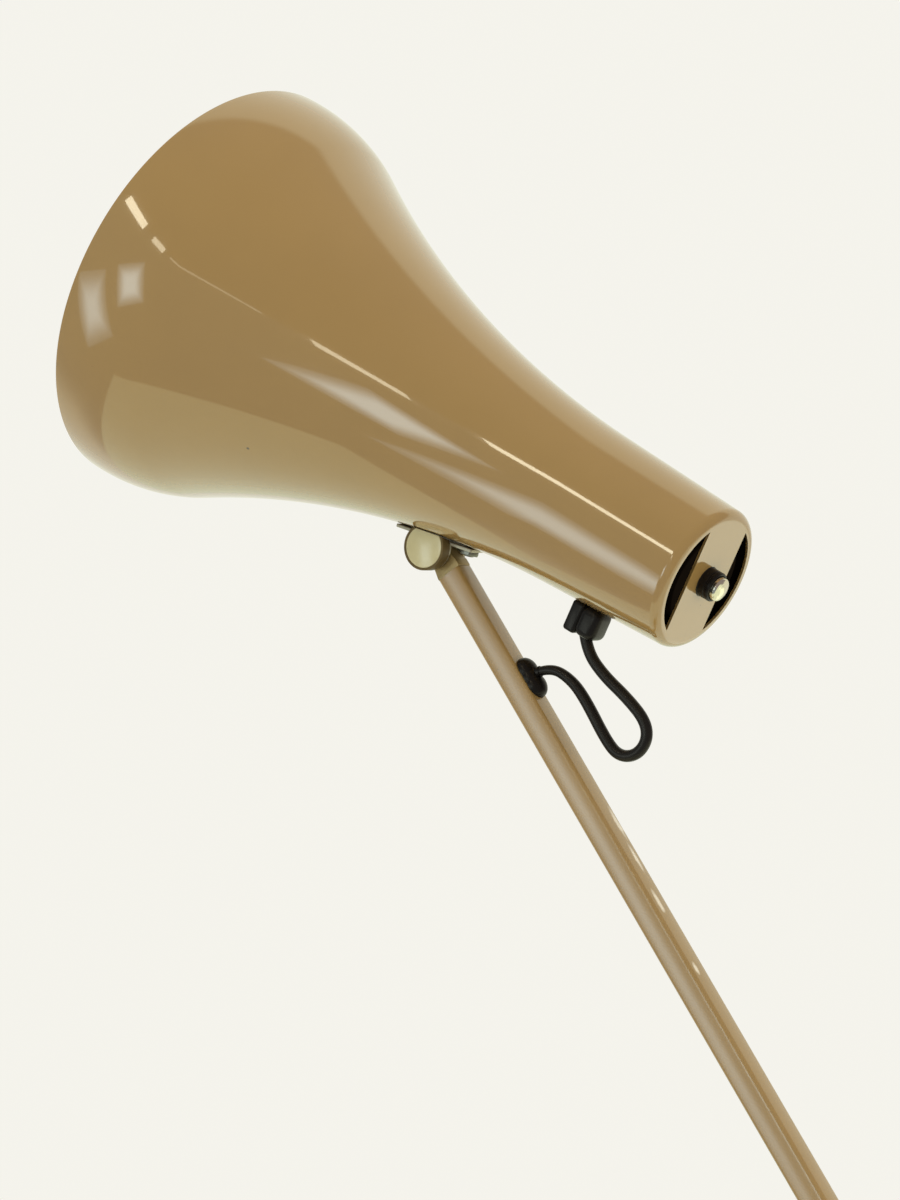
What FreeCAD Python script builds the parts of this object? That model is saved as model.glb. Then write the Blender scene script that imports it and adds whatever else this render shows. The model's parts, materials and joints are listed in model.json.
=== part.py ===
import FreeCAD, Part
import math
import os

import Sketcher

Vector = FreeCAD.Vector
Placement = FreeCAD.Placement
Rotation = FreeCAD.Rotation

# Driving dimensions, in millimetres and degrees
dimensions = {
    # pose of the arms as the lamp stands
    "lower_lean": 25.0,
    "upper_tilt": 55.21,
    "shade_tilt": 27.29,
    # square arm tubes and their end fittings
    "tube_side": 11.0,
    "tube_wall": 1.0,
    "tube_corner": 1.5,
    "fit_gap": 0.05,
    "plug_length": 20.0,
    "lower_length": 340.0,
    "upper_length": 350.0,
    "lower_start": 14.0,
    "lower_end_gap": 20.0,
    "upper_start": 10.8,
    "upper_end_gap": 16.0,
    # fits shared by every pivot
    "run_gap": 0.05,
    "slip_gap": 0.05,
    "air_gap": 0.4,
    # round base
    "base_radius": 95.0,
    "cover_wall": 1.5,
    "cover_rim": 14.0,
    "cover_shoulder": 12.0,
    "cover_height": 34.0,
    "cover_rise": 8.0,
    "crown_radius": 26.0,
    "pad_height": 2.0,
    "plate_height": 1.6,
    "weight_height": 19.0,
    "weight_margin": 8.0,
    "nut_pocket": 8.0,
    "base_screw_circle": 44.0,
    "base_screw_radius": 2.5,
    "base_screw_length": 12.0,
    "grommet_height": 10.5,
    "grommet_radius": 4.2,
    "grommet_bore": 2.7,
    # spindle and swivel block
    "spindle_radius": 6.0,
    "spindle_top": 56.0,
    "thread_radius": 5.0,
    "groove_height": 49.0,
    "groove_radius": 4.4,
    "collar_radius": 18.0,
    "collar_height": 4.0,
    "thrust_radius": 15.0,
    "thrust_height": 1.0,
    "block_length": 34.0,
    "block_height": 20.0,
    "grub_radius": 2.0,
    # cheeks that carry the main pivot
    "pivot_height": 100.0,
    "cheek_room": 0.9,
    "cheek_wall": 3.0,
    "cheek_head": 12.0,
    "cheek_foot": 14.0,
    "anchor_back": 46.0,
    "anchor_drop": 24.0,
    "anchor_boss": 7.5,
    "pin_radius": 2.5,
    "pin_groove": 2.0,
    "spring_room": 6.5,
    "cheek_screw_radius": 2.0,
    "cheek_screw_spread": 8.0,
    "cheek_screw_depth": 6.0,
    # pivot bolts
    "bolt_radius": 3.0,
    "bolt_head": 5.2,
    "bolt_head_height": 3.6,
    "nut_flats": 10.0,
    "nut_height": 4.4,
    "bolt_tail": 1.6,
    "washer_radius": 6.5,
    # crank and tie rod of the parallel linkage
    "tail_length": 32.0,
    "crank_wall": 2.0,
    "crank_gap": 0.7,
    "crank_hub": 9.0,
    "crank_spring_arm": 27.0,
    "eye_radius": 6.0,
    "eye_half": 2.0,
    "link_pin": 2.0,
    "rod_radius": 3.0,
    "rod_neck": 15.0,
    "slot_gap": 0.3,
    "tail_slot": 15.0,
    # elbow
    "elbow_plate_wall": 2.0,
    "elbow_plate_length": 66.0,
    "elbow_boss": 9.0,
    "elbow_lug_gap": 0.9,
    "elbow_lug_radius": 8.0,
    "rivet_radius": 2.0,
    "rivet_head": 3.4,
    "rivet_rise": 1.4,
    # spring seats on the lower arm
    "lower_pin_height": 95.0,
    "spring_lug_height": 190.0,
    "spring_lug_half": 1.3,
    "spring_lug_hole": 1.4,
    # springs
    "wire_radius": 0.9,
    "coil_radius": 4.6,
    "lower_turns": 30.0,
    "upper_turns": 38.0,
    "spring_end": 9.0,
    "wire_gap": 0.2,
    # hinge under the shade
    "hinge_drop": 6.0016,
    "hinge_from_rear": 110.65,
    "tongue_half": 4.0,
    "tongue_tip": 3.5,
    "hinge_washer": 0.55,
    "ear_wall": 1.6,
    "ear_radius": 8.6,
    "cup_radius": 9.1,
    "cup_height": 4.7,
    "cup_wall": 0.9,
    "disc_height": 0.9,
    "cup_rise": 1.1,
    "cup_forward": 1.5,
    "hinge_bolt": 2.0,
    "hinge_head": 3.4,
    "hinge_head_height": 2.4,
    "hinge_nut_flats": 7.0,
    "hinge_nut_height": 3.0,
    "hinge_tail": 1.0,
    "web_wall": 1.2,
    "web_front": 19.5,
    "web_rear": 17.0,
    "front_screw": 12.0,
    "rear_screw": 12.5,
    "bracket_screw": 2.0,
    "bracket_head": 3.6,
    "bracket_head_height": 2.0,
    "bracket_nut_height": 2.0,
    # spun shade
    "shade_wall": 1.0,
    "rear_radius": 28.67,
    "rear_round": 3.6,
    "neck_taper": 2.74,
    "neck_length": 59.53,
    "flare_radius": 386.1,
    "flare_angle": 28.11,
    "shoulder_radius": 71.6,
    "mouth_angle": 1.79,
    "vent_band": 13.0,
    "vent_radius": 24.2,
    # lampholder, bulb and push switch
    "holder_radius": 19.0,
    "holder_length": 30.0,
    "socket_radius": 15.5,
    "socket_length": 54.0,
    "socket_bore": 11.4,
    "socket_floor": 36.0,
    "ring_radius": 19.5,
    "ring_length": 6.0,
    "baffle_gap": 2.24,
    "baffle_height": 12.0,
    "baffle_wall": 0.8,
    "cap_radius": 11.0,
    "cap_end": 64.0,
    "bulb_radius": 29.0,
    "bulb_centre": 120.0,
    "bulb_neck": 13.0,
    "bulb_neck_end": 72.0,
    "glass_wall": 0.8,
    "collar_outer": 5.9,
    "switch_length": 5.2,
    "button_radius": 4.7,
    "button_rise": 2.4,
    "button_stem": 2.6,
    "button_travel": 2.0,
    "neck_radius": 4.6,
    "neck_depth": 8.0,
    # flex between arm and shade, and the bushes that grip it
    "flex_radius": 2.3,
    "shade_bush_half": 5.6,
    "arm_bush_half": 4.5,
    "bush_round": 1.0,
    "bush_hole": 3.6,
}

tiny = 1e-9

doc = FreeCAD.newDocument("architect_lamp")
sheet = doc.addObject("Spreadsheet::Sheet", "Dimensions")
for row, (word, number) in enumerate(dimensions.items(), start=1):
    sheet.set(f"A{row}", word)
    sheet.set(f"B{row}", str(number))
    sheet.setAlias(f"B{row}", word)
doc.recompute()


class Size:
    # A number together with the spreadsheet formula that gives it
    def __init__(self, value, text):
        self.value = value
        self.text = text

    def __add__(self, other):
        other = as_size(other)
        return Size(self.value + other.value, f"({self.text} + {other.text})")

    def __sub__(self, other):
        other = as_size(other)
        return Size(self.value - other.value, f"({self.text} - {other.text})")

    def __mul__(self, other):
        other = as_size(other)
        return Size(self.value * other.value, f"({self.text} * {other.text})")

    def __truediv__(self, other):
        other = as_size(other)
        return Size(self.value / other.value, f"({self.text} / {other.text})")

    def __neg__(self):
        return Size(-self.value, f"(0 - {self.text})")

    def __radd__(self, other):
        return as_size(other) + self

    def __rsub__(self, other):
        return as_size(other) - self

    def __rmul__(self, other):
        return as_size(other) * self


def as_size(item):
    if isinstance(item, Size):
        return item
    return Size(float(item), f"({float(item)!r})")


def sine(angle):
    return Size(math.sin(math.radians(angle.value)), f"sin({angle.text})")


def cosine(angle):
    return Size(math.cos(math.radians(angle.value)), f"cos({angle.text})")


def root(item):
    return Size(math.sqrt(item.value), f"sqrt({item.text})")


class Named:
    pass


size = Named()
for word in dimensions:
    setattr(size, word, Size(float(sheet.get(word)), f"Dimensions.{word}"))


# Frames: each has its own Y along the lamp's Y
def turned_about_y(origin, angle):
    return Placement(origin, Rotation(Vector(0, 1, 0), angle))


def across(frame, x, z):
    # a frame whose Z runs along the lamp's Y, through a point of the frame's XZ plane
    return frame.multiply(Placement(Vector(x, 0, z), Rotation(Vector(1, 0, 0), -90)))


def along(angle, length):
    # a step in the XZ plane, with the angle measured from +X towards +Z
    return Vector(math.cos(math.radians(angle)), 0, math.sin(math.radians(angle))) * length


def shade_profile(offset):
    # corners of the shade's curve, set in from its outside by an offset
    taper = size.neck_taper
    flare = size.flare_angle
    lip = -size.mouth_angle
    start_r = size.rear_radius + size.neck_length * sine(taper) / cosine(taper)
    flare_z = size.neck_length + size.flare_radius * (sine(flare) - sine(taper))
    flare_r = start_r + size.flare_radius * (cosine(taper) - cosine(flare))
    mouth_z = flare_z + size.shoulder_radius * (sine(flare) - sine(lip))
    mouth_r = flare_r + size.shoulder_radius * (cosine(lip) - cosine(flare))
    spots = [(start_r, size.neck_length, taper), (flare_r, flare_z, flare), (mouth_r, mouth_z, lip)]
    return [(r - offset * cosine(angle), z + offset * sine(angle)) for r, z, angle in spots]


def shade_radius_at(height):
    # outside radius of the shade at a height along its axis, on the flare
    taper = math.radians(size.neck_taper.value)
    radius = size.flare_radius.value
    angle = math.asin(math.sin(taper) + (height - size.neck_length.value) / radius)
    start = shade_profile(as_size(0))[0][0].value
    return start + radius * (math.cos(taper) - math.cos(angle))


def neck_radius_at(height):
    # outside radius of the shade's tapered neck at a height along its axis
    return size.rear_radius + height * sine(size.neck_taper) / cosine(size.neck_taper)


hinge_below_axis = shade_radius_at(size.hinge_from_rear.value) + size.hinge_drop.value
lean = size.lower_lean.value
tilt = size.upper_tilt.value
nose = size.shade_tilt.value
main_pivot = Vector(0, 0, size.pivot_height.value)
elbow = main_pivot + along(90 - lean, size.lower_length.value)
hinge = elbow + along(180 - tilt, size.upper_length.value)
tail_step = along(-tilt, size.tail_length.value)
crank_end = main_pivot + tail_step
tail_end = elbow + tail_step
shade_rear = hinge + along(-nose, size.hinge_from_rear.value) + along(90 - nose, hinge_below_axis)

base_frame = Placement()
lower_frame = turned_about_y(main_pivot, lean)
rod_frame = turned_about_y(crank_end, lean)
crank_frame = turned_about_y(main_pivot, 90 + tilt)
upper_frame = turned_about_y(hinge, 90 + tilt)
shade_frame = turned_about_y(shade_rear, nose - 90)

nodes = {}


# Sketch helpers
def plane_of(body, role):
    return [item for item in body.Origin.OriginFeatures if item.Role == role][0]


def new_body(label, frame):
    body = doc.addObject("PartDesign::Body", label)
    body.Label = label
    body.Placement = frame
    return body


def new_sketch(body, role, offset=0):
    sketch = body.newObject("Sketcher::SketchObject", "Outline")
    sketch.AttachmentSupport = [(plane_of(body, role), "")]
    sketch.MapMode = "FlatFace"
    if as_size(offset).value:
        sketch.setExpression("AttachmentOffset.Base.z", as_size(offset).text)
    return sketch


def bind(sketch, constraint, item):
    index = sketch.addConstraint(constraint)
    sketch.setExpression(f"Constraints[{index}]", as_size(item).text)


def pin_point(sketch, curve, end, x, y):
    for kind, item, axis in (("DistanceX", as_size(x), -2), ("DistanceY", as_size(y), -1)):
        if abs(item.value) < tiny:
            sketch.addConstraint(Sketcher.Constraint("PointOnObject", curve, end, axis))
        else:
            bind(sketch, Sketcher.Constraint(kind, -1, 1, curve, end, item.value), item)


def add_circle(sketch, x, y, radius):
    centre = Vector(as_size(x).value, as_size(y).value, 0)
    circle = Part.Circle(centre, Vector(0, 0, 1), as_size(radius).value)
    curve = sketch.addGeometry(circle, False)
    pin_point(sketch, curve, 3, x, y)
    bind(sketch, Sketcher.Constraint("Radius", curve, as_size(radius).value), radius)


def bulge_point(start, finish, radius, side):
    chord = finish - start
    half = chord.Length / 2
    left = Vector(-chord.y, chord.x, 0).normalize()
    rise = radius - math.sqrt(radius * radius - half * half)
    return (start + finish) * 0.5 + left * (rise * side)


def add_loop(sketch, corners):
    # A closed outline. A corner is (x, y), or (x, y, radius, side) where an arc leads to it;
    # side is 1 where the arc swells to the left of its way and -1 where it swells to the right.
    points = [Vector(as_size(c[0]).value, as_size(c[1]).value, 0) for c in corners]
    edges = []
    for index, corner in enumerate(corners):
        start = points[index - 1]
        finish = points[index]
        if len(corner) == 2:
            curve = sketch.addGeometry(Part.LineSegment(start, finish), False)
            edges.append((curve, 1, 2))
        else:
            radius = as_size(corner[2])
            middle = bulge_point(start, finish, radius.value, corner[3])
            curve = sketch.addGeometry(Part.Arc(start, middle, finish), False)
            bind(sketch, Sketcher.Constraint("Radius", curve, radius.value), radius)
            edges.append((curve, 2, 1) if corner[3] > 0 else (curve, 1, 2))
    for index, corner in enumerate(corners):
        curve, first, last = edges[index]
        following, next_first, next_last = edges[(index + 1) % len(edges)]
        sketch.addConstraint(Sketcher.Constraint("Coincident", curve, last, following, next_first))
        pin_point(sketch, curve, last, corner[0], corner[1])


def add_belt(sketch, discs):
    # A belt stretched round discs (x, y, radius), listed anticlockwise
    spots = [(Vector(as_size(x).value, as_size(y).value, 0), as_size(r).value) for x, y, r in discs]
    normals = []
    for index, (centre, radius) in enumerate(spots):
        other, other_radius = spots[(index + 1) % len(spots)]
        step = other - centre
        share = (radius - other_radius) / step.Length
        step.normalize()
        right = Vector(step.y, -step.x, 0)
        normals.append(step * share + right * math.sqrt(1 - share * share))
    arcs = []
    lines = []
    for index, (centre, radius) in enumerate(spots):
        before = normals[index - 1]
        after = normals[index]
        first = math.atan2(before.y, before.x)
        last = math.atan2(after.y, after.x)
        if last < first:
            last += 2 * math.pi
        circle = Part.Circle(centre, Vector(0, 0, 1), radius)
        arcs.append(sketch.addGeometry(Part.ArcOfCircle(circle, first, last), False))
        other, other_radius = spots[(index + 1) % len(spots)]
        line = Part.LineSegment(centre + after * radius, other + after * other_radius)
        lines.append(sketch.addGeometry(line, False))
    for index, (x, y, radius) in enumerate(discs):
        following = arcs[(index + 1) % len(arcs)]
        sketch.addConstraint(Sketcher.Constraint("Tangent", arcs[index], 2, lines[index], 1))
        sketch.addConstraint(Sketcher.Constraint("Tangent", lines[index], 2, following, 1))
        pin_point(sketch, arcs[index], 3, x, y)
        bind(sketch, Sketcher.Constraint("Radius", arcs[index], as_size(radius).value), radius)


def square_belt(half, corner):
    reach = half - corner
    return [(-reach, -reach, corner), (reach, -reach, corner), (reach, reach, corner), (-reach, reach, corner)]


# Feature helpers
def pad(body, sketch, length, reverse=False):
    feature = body.newObject("PartDesign::Pad", "Pad")
    feature.Profile = sketch
    feature.Reversed = reverse
    feature.setExpression("Length", as_size(length).text)
    return feature


def pocket(body, sketch, length, reverse=False):
    doc.recompute()
    before = body.Shape.Volume
    feature = body.newObject("PartDesign::Pocket", "Pocket")
    feature.Profile = sketch
    feature.Reversed = reverse
    feature.setExpression("Length", as_size(length).text)
    doc.recompute()
    if body.Shape.Volume > before - 1e-3:
        raise ValueError(f"a pocket in {body.Label} cuts nothing")
    return feature


def turned(label, frame, corners):
    # a piece turned about its frame's Z, from an outline of (radius, height) corners
    body = new_body(label, frame)
    sketch = new_sketch(body, "XZ_Plane")
    add_loop(sketch, corners)
    feature = body.newObject("PartDesign::Revolution", "Turn")
    feature.Profile = sketch
    feature.ReferenceAxis = (sketch, ["V_Axis"])
    return body


def plate(label, frame, discs, low, thickness, holes=()):
    # a flat piece in the frame's XZ plane, from Y = low upwards
    body = new_body(label, frame)
    sketch = new_sketch(body, "XZ_Plane", -as_size(low))
    add_belt(sketch, discs)
    for x, z, radius in holes:
        add_circle(sketch, x, z, radius)
    pad(body, sketch, thickness, reverse=True)
    return body


def rod(label, frame, corners):
    # a pin, bolt or rivet along Y: corners are (radius, y)
    return turned(label, frame, corners)


def ring(label, frame, inner, outer, low, high):
    return turned(label, frame, [(inner, low), (outer, low), (outer, high), (inner, high)])


def hex_nut(label, frame, flats, bore, low, height):
    body = new_body(label, frame)
    sketch = new_sketch(body, "XY_Plane", low)
    corner = flats / math.sqrt(3)
    turns = [math.radians(60 * step) for step in range(6)]
    add_loop(sketch, [(corner * math.cos(turn), corner * math.sin(turn)) for turn in turns])
    add_circle(sketch, 0, 0, bore + size.fit_gap)
    pad(body, sketch, height)
    return body


def square_tube(label, frame, low, length):
    body = new_body(label, frame)
    sketch = new_sketch(body, "XY_Plane", low)
    half = size.tube_side / 2
    add_belt(sketch, square_belt(half, size.tube_corner))
    add_belt(sketch, square_belt(half - size.tube_wall, size.tube_corner - size.tube_wall))
    pad(body, sketch, length)
    return body


def add_plug(body, low, length):
    # the part of a fitting that slides into a tube's end
    sketch = new_sketch(body, "XY_Plane", low)
    half = size.tube_side / 2 - size.tube_wall - size.fit_gap
    add_belt(sketch, square_belt(half, size.tube_corner - size.tube_wall))
    pad(body, sketch, length)


def side_holes(body, low, length, holes):
    # holes along Y through a body, from Y = low
    sketch = new_sketch(body, "XZ_Plane", -as_size(low))
    for x, z, radius in holes:
        add_circle(sketch, x, z, radius)
    pocket(body, sketch, length)


def keep(body):
    nodes[body.Label] = body
    return body


def group(label, members):
    compound = doc.addObject("Part::Compound", label)
    compound.Label = label
    compound.Links = members
    nodes[label] = compound
    return compound


def solid_node(label, shape):
    feature = doc.addObject("Part::Feature", label)
    feature.Label = label
    feature.Shape = shape
    nodes[label] = feature
    return feature


half_tube = size.tube_side / 2
crank_face = half_tube + size.crank_gap
cheek_gap = crank_face + size.crank_wall + size.cheek_room
spring_side = cheek_gap + size.cheek_wall + size.spring_room
elbow_lug_half = half_tube - size.elbow_lug_gap


# Base: pad, plate, weight and spun cover
def build_base():
    plate_top = size.pad_height + size.plate_height
    weight_top = plate_top + size.weight_height
    weight_radius = size.base_radius - size.weight_margin
    outer = size.base_radius
    wall = size.cover_wall
    rim = size.cover_rim
    round_radius = size.cover_shoulder
    edge = outer - round_radius
    crown = size.crown_radius
    top = size.cover_height
    slope_start = top - size.cover_rise
    bore = size.spindle_radius + size.air_gap

    screw_spots = []
    for step in range(3):
        turn = math.radians(60 + 120 * step)
        screw_spots.append((size.base_screw_circle * math.cos(turn), size.base_screw_circle * math.sin(turn)))
    head = size.base_screw_radius * 2
    layers = (
        ("base_pad", as_size(0), size.pad_height, head + size.air_gap),
        ("base_plate", size.pad_height, size.plate_height, size.base_screw_radius + size.fit_gap),
    )
    for label, low, height, hole in layers:
        layer = new_body(label, base_frame)
        sketch = new_sketch(layer, "XY_Plane", low)
        add_circle(sketch, 0, 0, outer - wall - size.air_gap)
        for x, y in screw_spots:
            add_circle(sketch, x, y, hole)
        pad(layer, sketch, height)
        keep(layer)

    weight = turned("base_weight", base_frame, [
        (size.nut_flats, plate_top),
        (weight_radius, plate_top),
        (weight_radius, weight_top - size.nut_pocket),
        (weight_radius - size.nut_pocket, weight_top),
        (size.spindle_radius + size.fit_gap, weight_top),
        (size.spindle_radius + size.fit_gap, plate_top + size.nut_pocket),
        (size.thread_radius + size.fit_gap, plate_top + size.nut_pocket),
        (size.thread_radius + size.fit_gap, plate_top + size.nut_pocket - size.plate_height),
        (size.nut_flats, plate_top + size.nut_pocket - size.plate_height),
    ])
    sketch = new_sketch(weight, "XY_Plane", plate_top)
    for x, y in screw_spots:
        add_circle(sketch, x, y, size.base_screw_radius + size.fit_gap)
    pocket(weight, sketch, size.base_screw_length, reverse=True)
    keep(weight)

    screws = []
    for x, y in screw_spots:
        frame = Placement(Vector(x.value, y.value, 0), Rotation())
        screws.append(turned("base_screw", frame, [
            (0, plate_top + size.base_screw_length),
            (0, size.pad_height - size.base_screw_radius / 2),
            (head, size.pad_height - size.base_screw_radius / 4),
            (head, size.pad_height),
            (size.base_screw_radius, size.pad_height),
            (size.base_screw_radius, plate_top + size.base_screw_length),
        ]))
    group("base_screws", screws)

    inner_edge = edge
    cover = turned("base_cover", base_frame, [
        (bore, top - wall),
        (bore, top),
        (crown, top),
        (edge, slope_start),
        (outer, slope_start - round_radius, round_radius, 1),
        (outer, size.pad_height),
        (outer - wall, size.pad_height),
        (outer - wall, slope_start - round_radius),
        (inner_edge, slope_start - wall, round_radius - wall, -1),
        (crown, top - wall),
    ])
    sketch = new_sketch(cover, "YZ_Plane", outer)
    add_circle(sketch, 0, size.grommet_height, size.grommet_radius)
    pocket(cover, sketch, size.cover_rim)
    keep(cover)

    grommet_frame = Placement(Vector(outer.value, 0, size.grommet_height.value), Rotation(Vector(0, 1, 0), 90))
    lip = size.grommet_radius + wall
    keep(turned("base_grommet", grommet_frame, [
        (size.grommet_bore, -wall * 2),
        (lip, -wall * 2 - size.air_gap),
        (lip, -wall - size.air_gap),
        (size.grommet_radius - size.run_gap, -wall - size.air_gap),
        (size.grommet_radius - size.run_gap, size.air_gap),
        (lip, size.air_gap),
        (lip - wall / 2, wall + size.air_gap),
        (size.grommet_bore, wall + size.air_gap),
    ]))


# Spindle, its nut, and the swivel block that turns on it
def build_swivel():
    plate_top = size.pad_height + size.plate_height
    shelf = plate_top + size.nut_pocket
    top = size.cover_height
    block_low = top + size.collar_height + size.thrust_height + size.slip_gap
    groove_half = size.grub_radius + size.slip_gap

    keep(turned("spindle", base_frame, [
        (0, plate_top + size.run_gap),
        (size.thread_radius, plate_top + size.run_gap),
        (size.thread_radius, shelf),
        (size.spindle_radius, shelf),
        (size.spindle_radius, size.groove_height - groove_half),
        (size.groove_radius, size.groove_height - groove_half),
        (size.groove_radius, size.groove_height + groove_half),
        (size.spindle_radius, size.groove_height + groove_half),
        (size.spindle_radius, size.spindle_top),
        (0, size.spindle_top),
    ]))
    nut_low = shelf - size.plate_height - size.nut_height
    keep(hex_nut("spindle_nut", base_frame, size.nut_flats * 1.5, size.thread_radius, nut_low, size.nut_height))
    bore = size.spindle_radius + size.run_gap
    keep(ring("base_collar", base_frame, bore, size.collar_radius, top, top + size.collar_height))
    thrust_low = top + size.collar_height
    keep(ring("thrust_washer", base_frame, bore, size.thrust_radius, thrust_low, thrust_low + size.thrust_height))

    block = new_body("swivel_block", base_frame)
    sketch = new_sketch(block, "XY_Plane", block_low)
    reach_x = size.block_length / 2 - size.cheek_wall
    reach_y = cheek_gap - size.cheek_wall
    corner = size.cheek_wall
    add_belt(sketch, [
        (-reach_x, -reach_y, corner),
        (reach_x, -reach_y, corner),
        (reach_x, reach_y, corner),
        (-reach_x, reach_y, corner),
    ])
    pad(block, sketch, size.block_height)
    sketch = new_sketch(block, "XY_Plane", block_low)
    add_circle(sketch, 0, 0, bore)
    pocket(block, sketch, size.spindle_top + size.slip_gap * 4 - block_low, reverse=True)
    screw_height = size.groove_height
    spread = size.block_length / 2 - size.cheek_screw_spread / 2
    side_holes(block, -cheek_gap, cheek_gap * 2, [
        (spread, screw_height, size.cheek_screw_radius + size.fit_gap),
        (-spread, screw_height, size.cheek_screw_radius + size.fit_gap),
    ])
    sketch = new_sketch(block, "YZ_Plane", size.block_length / 2)
    add_circle(sketch, 0, screw_height, size.grub_radius + size.fit_gap)
    pocket(block, sketch, size.block_length / 2)
    keep(block)

    grub_frame = Placement(Vector(0, 0, screw_height.value), Rotation(Vector(0, 1, 0), 90))
    keep(turned("retaining_screw", grub_frame, [
        (0, size.groove_radius + size.slip_gap),
        (size.grub_radius, size.groove_radius + size.slip_gap),
        (size.grub_radius, size.block_length / 2),
        (0, size.block_length / 2),
    ]))


# Cheeks, spring anchor and main pivot bolt
def build_stand():
    foot_low = size.cover_height + size.collar_height + size.thrust_height + size.cheek_wall
    anchor_x = -size.anchor_back
    anchor_z = size.pivot_height - size.anchor_drop
    spread = size.block_length / 2 - size.cheek_screw_spread / 2
    face = cheek_gap
    outside = cheek_gap + size.cheek_wall
    outline = [
        (-size.cheek_foot, foot_low, size.cheek_wall),
        (size.cheek_foot, foot_low, size.cheek_wall),
        (0, size.pivot_height, size.cheek_head),
        (anchor_x, anchor_z, size.anchor_boss),
    ]
    holes = [
        (0, size.pivot_height, size.bolt_radius + size.fit_gap),
        (anchor_x, anchor_z, size.pin_radius + size.fit_gap),
        (spread, size.groove_height, size.cheek_screw_radius + size.fit_gap),
        (-spread, size.groove_height, size.cheek_screw_radius + size.fit_gap),
    ]
    keep(plate("cheek_near", base_frame, outline, -outside, size.cheek_wall, holes))
    keep(plate("cheek_far", base_frame, outline, face, size.cheek_wall, holes))

    screws = []
    head = size.cheek_screw_radius * 1.8
    inner = face - size.cheek_screw_depth
    for x in (spread, -spread):
        for turn in (-90, 90):
            frame = Placement(Vector(x.value, 0, size.groove_height.value), Rotation(Vector(1, 0, 0), turn))
            screws.append(turned("cheek_screw", frame, [
                (0, inner),
                (size.cheek_screw_radius, inner),
                (size.cheek_screw_radius, outside),
                (head, outside),
                (head, outside + size.cheek_screw_radius / 2),
                (head - size.cheek_screw_radius / 2, outside + size.cheek_screw_radius),
                (0, outside + size.cheek_screw_radius),
            ]))
    group("cheek_screws", screws)

    anchor_frame = across(base_frame, anchor_x.value, anchor_z.value)
    keep(grooved_pin("anchor_pin", anchor_frame))

    bolt_frame = across(base_frame, 0, size.pivot_height.value)
    keep(pivot_bolt("main_bolt", bolt_frame, outside))
    keep(hex_nut("main_nut", bolt_frame, size.nut_flats, size.bolt_radius, outside, size.nut_height))
    keep_washers("main_washers", bolt_frame, [
        (half_tube + size.slip_gap, crank_face - size.slip_gap),
        (crank_face + size.crank_wall + size.slip_gap, cheek_gap),
    ], size.bolt_radius, size.washer_radius)


def grooved_pin(label, frame):
    # a cross pin with a groove for a spring's hook at each end
    groove = size.wire_radius * 2
    head = size.pin_radius * 1.4
    side = spring_side
    near = [(head, side + groove * 2), (head, side + groove), (size.pin_groove, side + groove)]
    near += [(size.pin_groove, side - groove), (size.pin_radius, side - groove)]
    far = [(size.pin_radius, groove - side), (size.pin_groove, groove - side)]
    far += [(size.pin_groove, -side - groove), (head, -side - groove), (head, -side - groove * 2)]
    corners = [(0, side + groove * 2)] + near + far + [(0, -side - groove * 2)]
    return rod(label, frame, corners)


def pivot_bolt(label, frame, outside):
    tip = outside + size.nut_height + size.bolt_tail
    head = -outside - size.bolt_head_height
    return rod(label, frame, [
        (0, head),
        (size.bolt_head - size.bolt_tail / 2, head),
        (size.bolt_head, head + size.bolt_tail / 2),
        (size.bolt_head, -outside),
        (size.bolt_radius, -outside),
        (size.bolt_radius, tip),
        (0, tip),
    ])


def keep_washers(label, frame, spans, inner, outer):
    members = []
    for low, high in spans:
        members.append(ring("washer", frame, inner + size.fit_gap, outer, low, high))
        members.append(ring("washer", frame, inner + size.fit_gap, outer, -high, -low))
    group(label, members)


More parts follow.
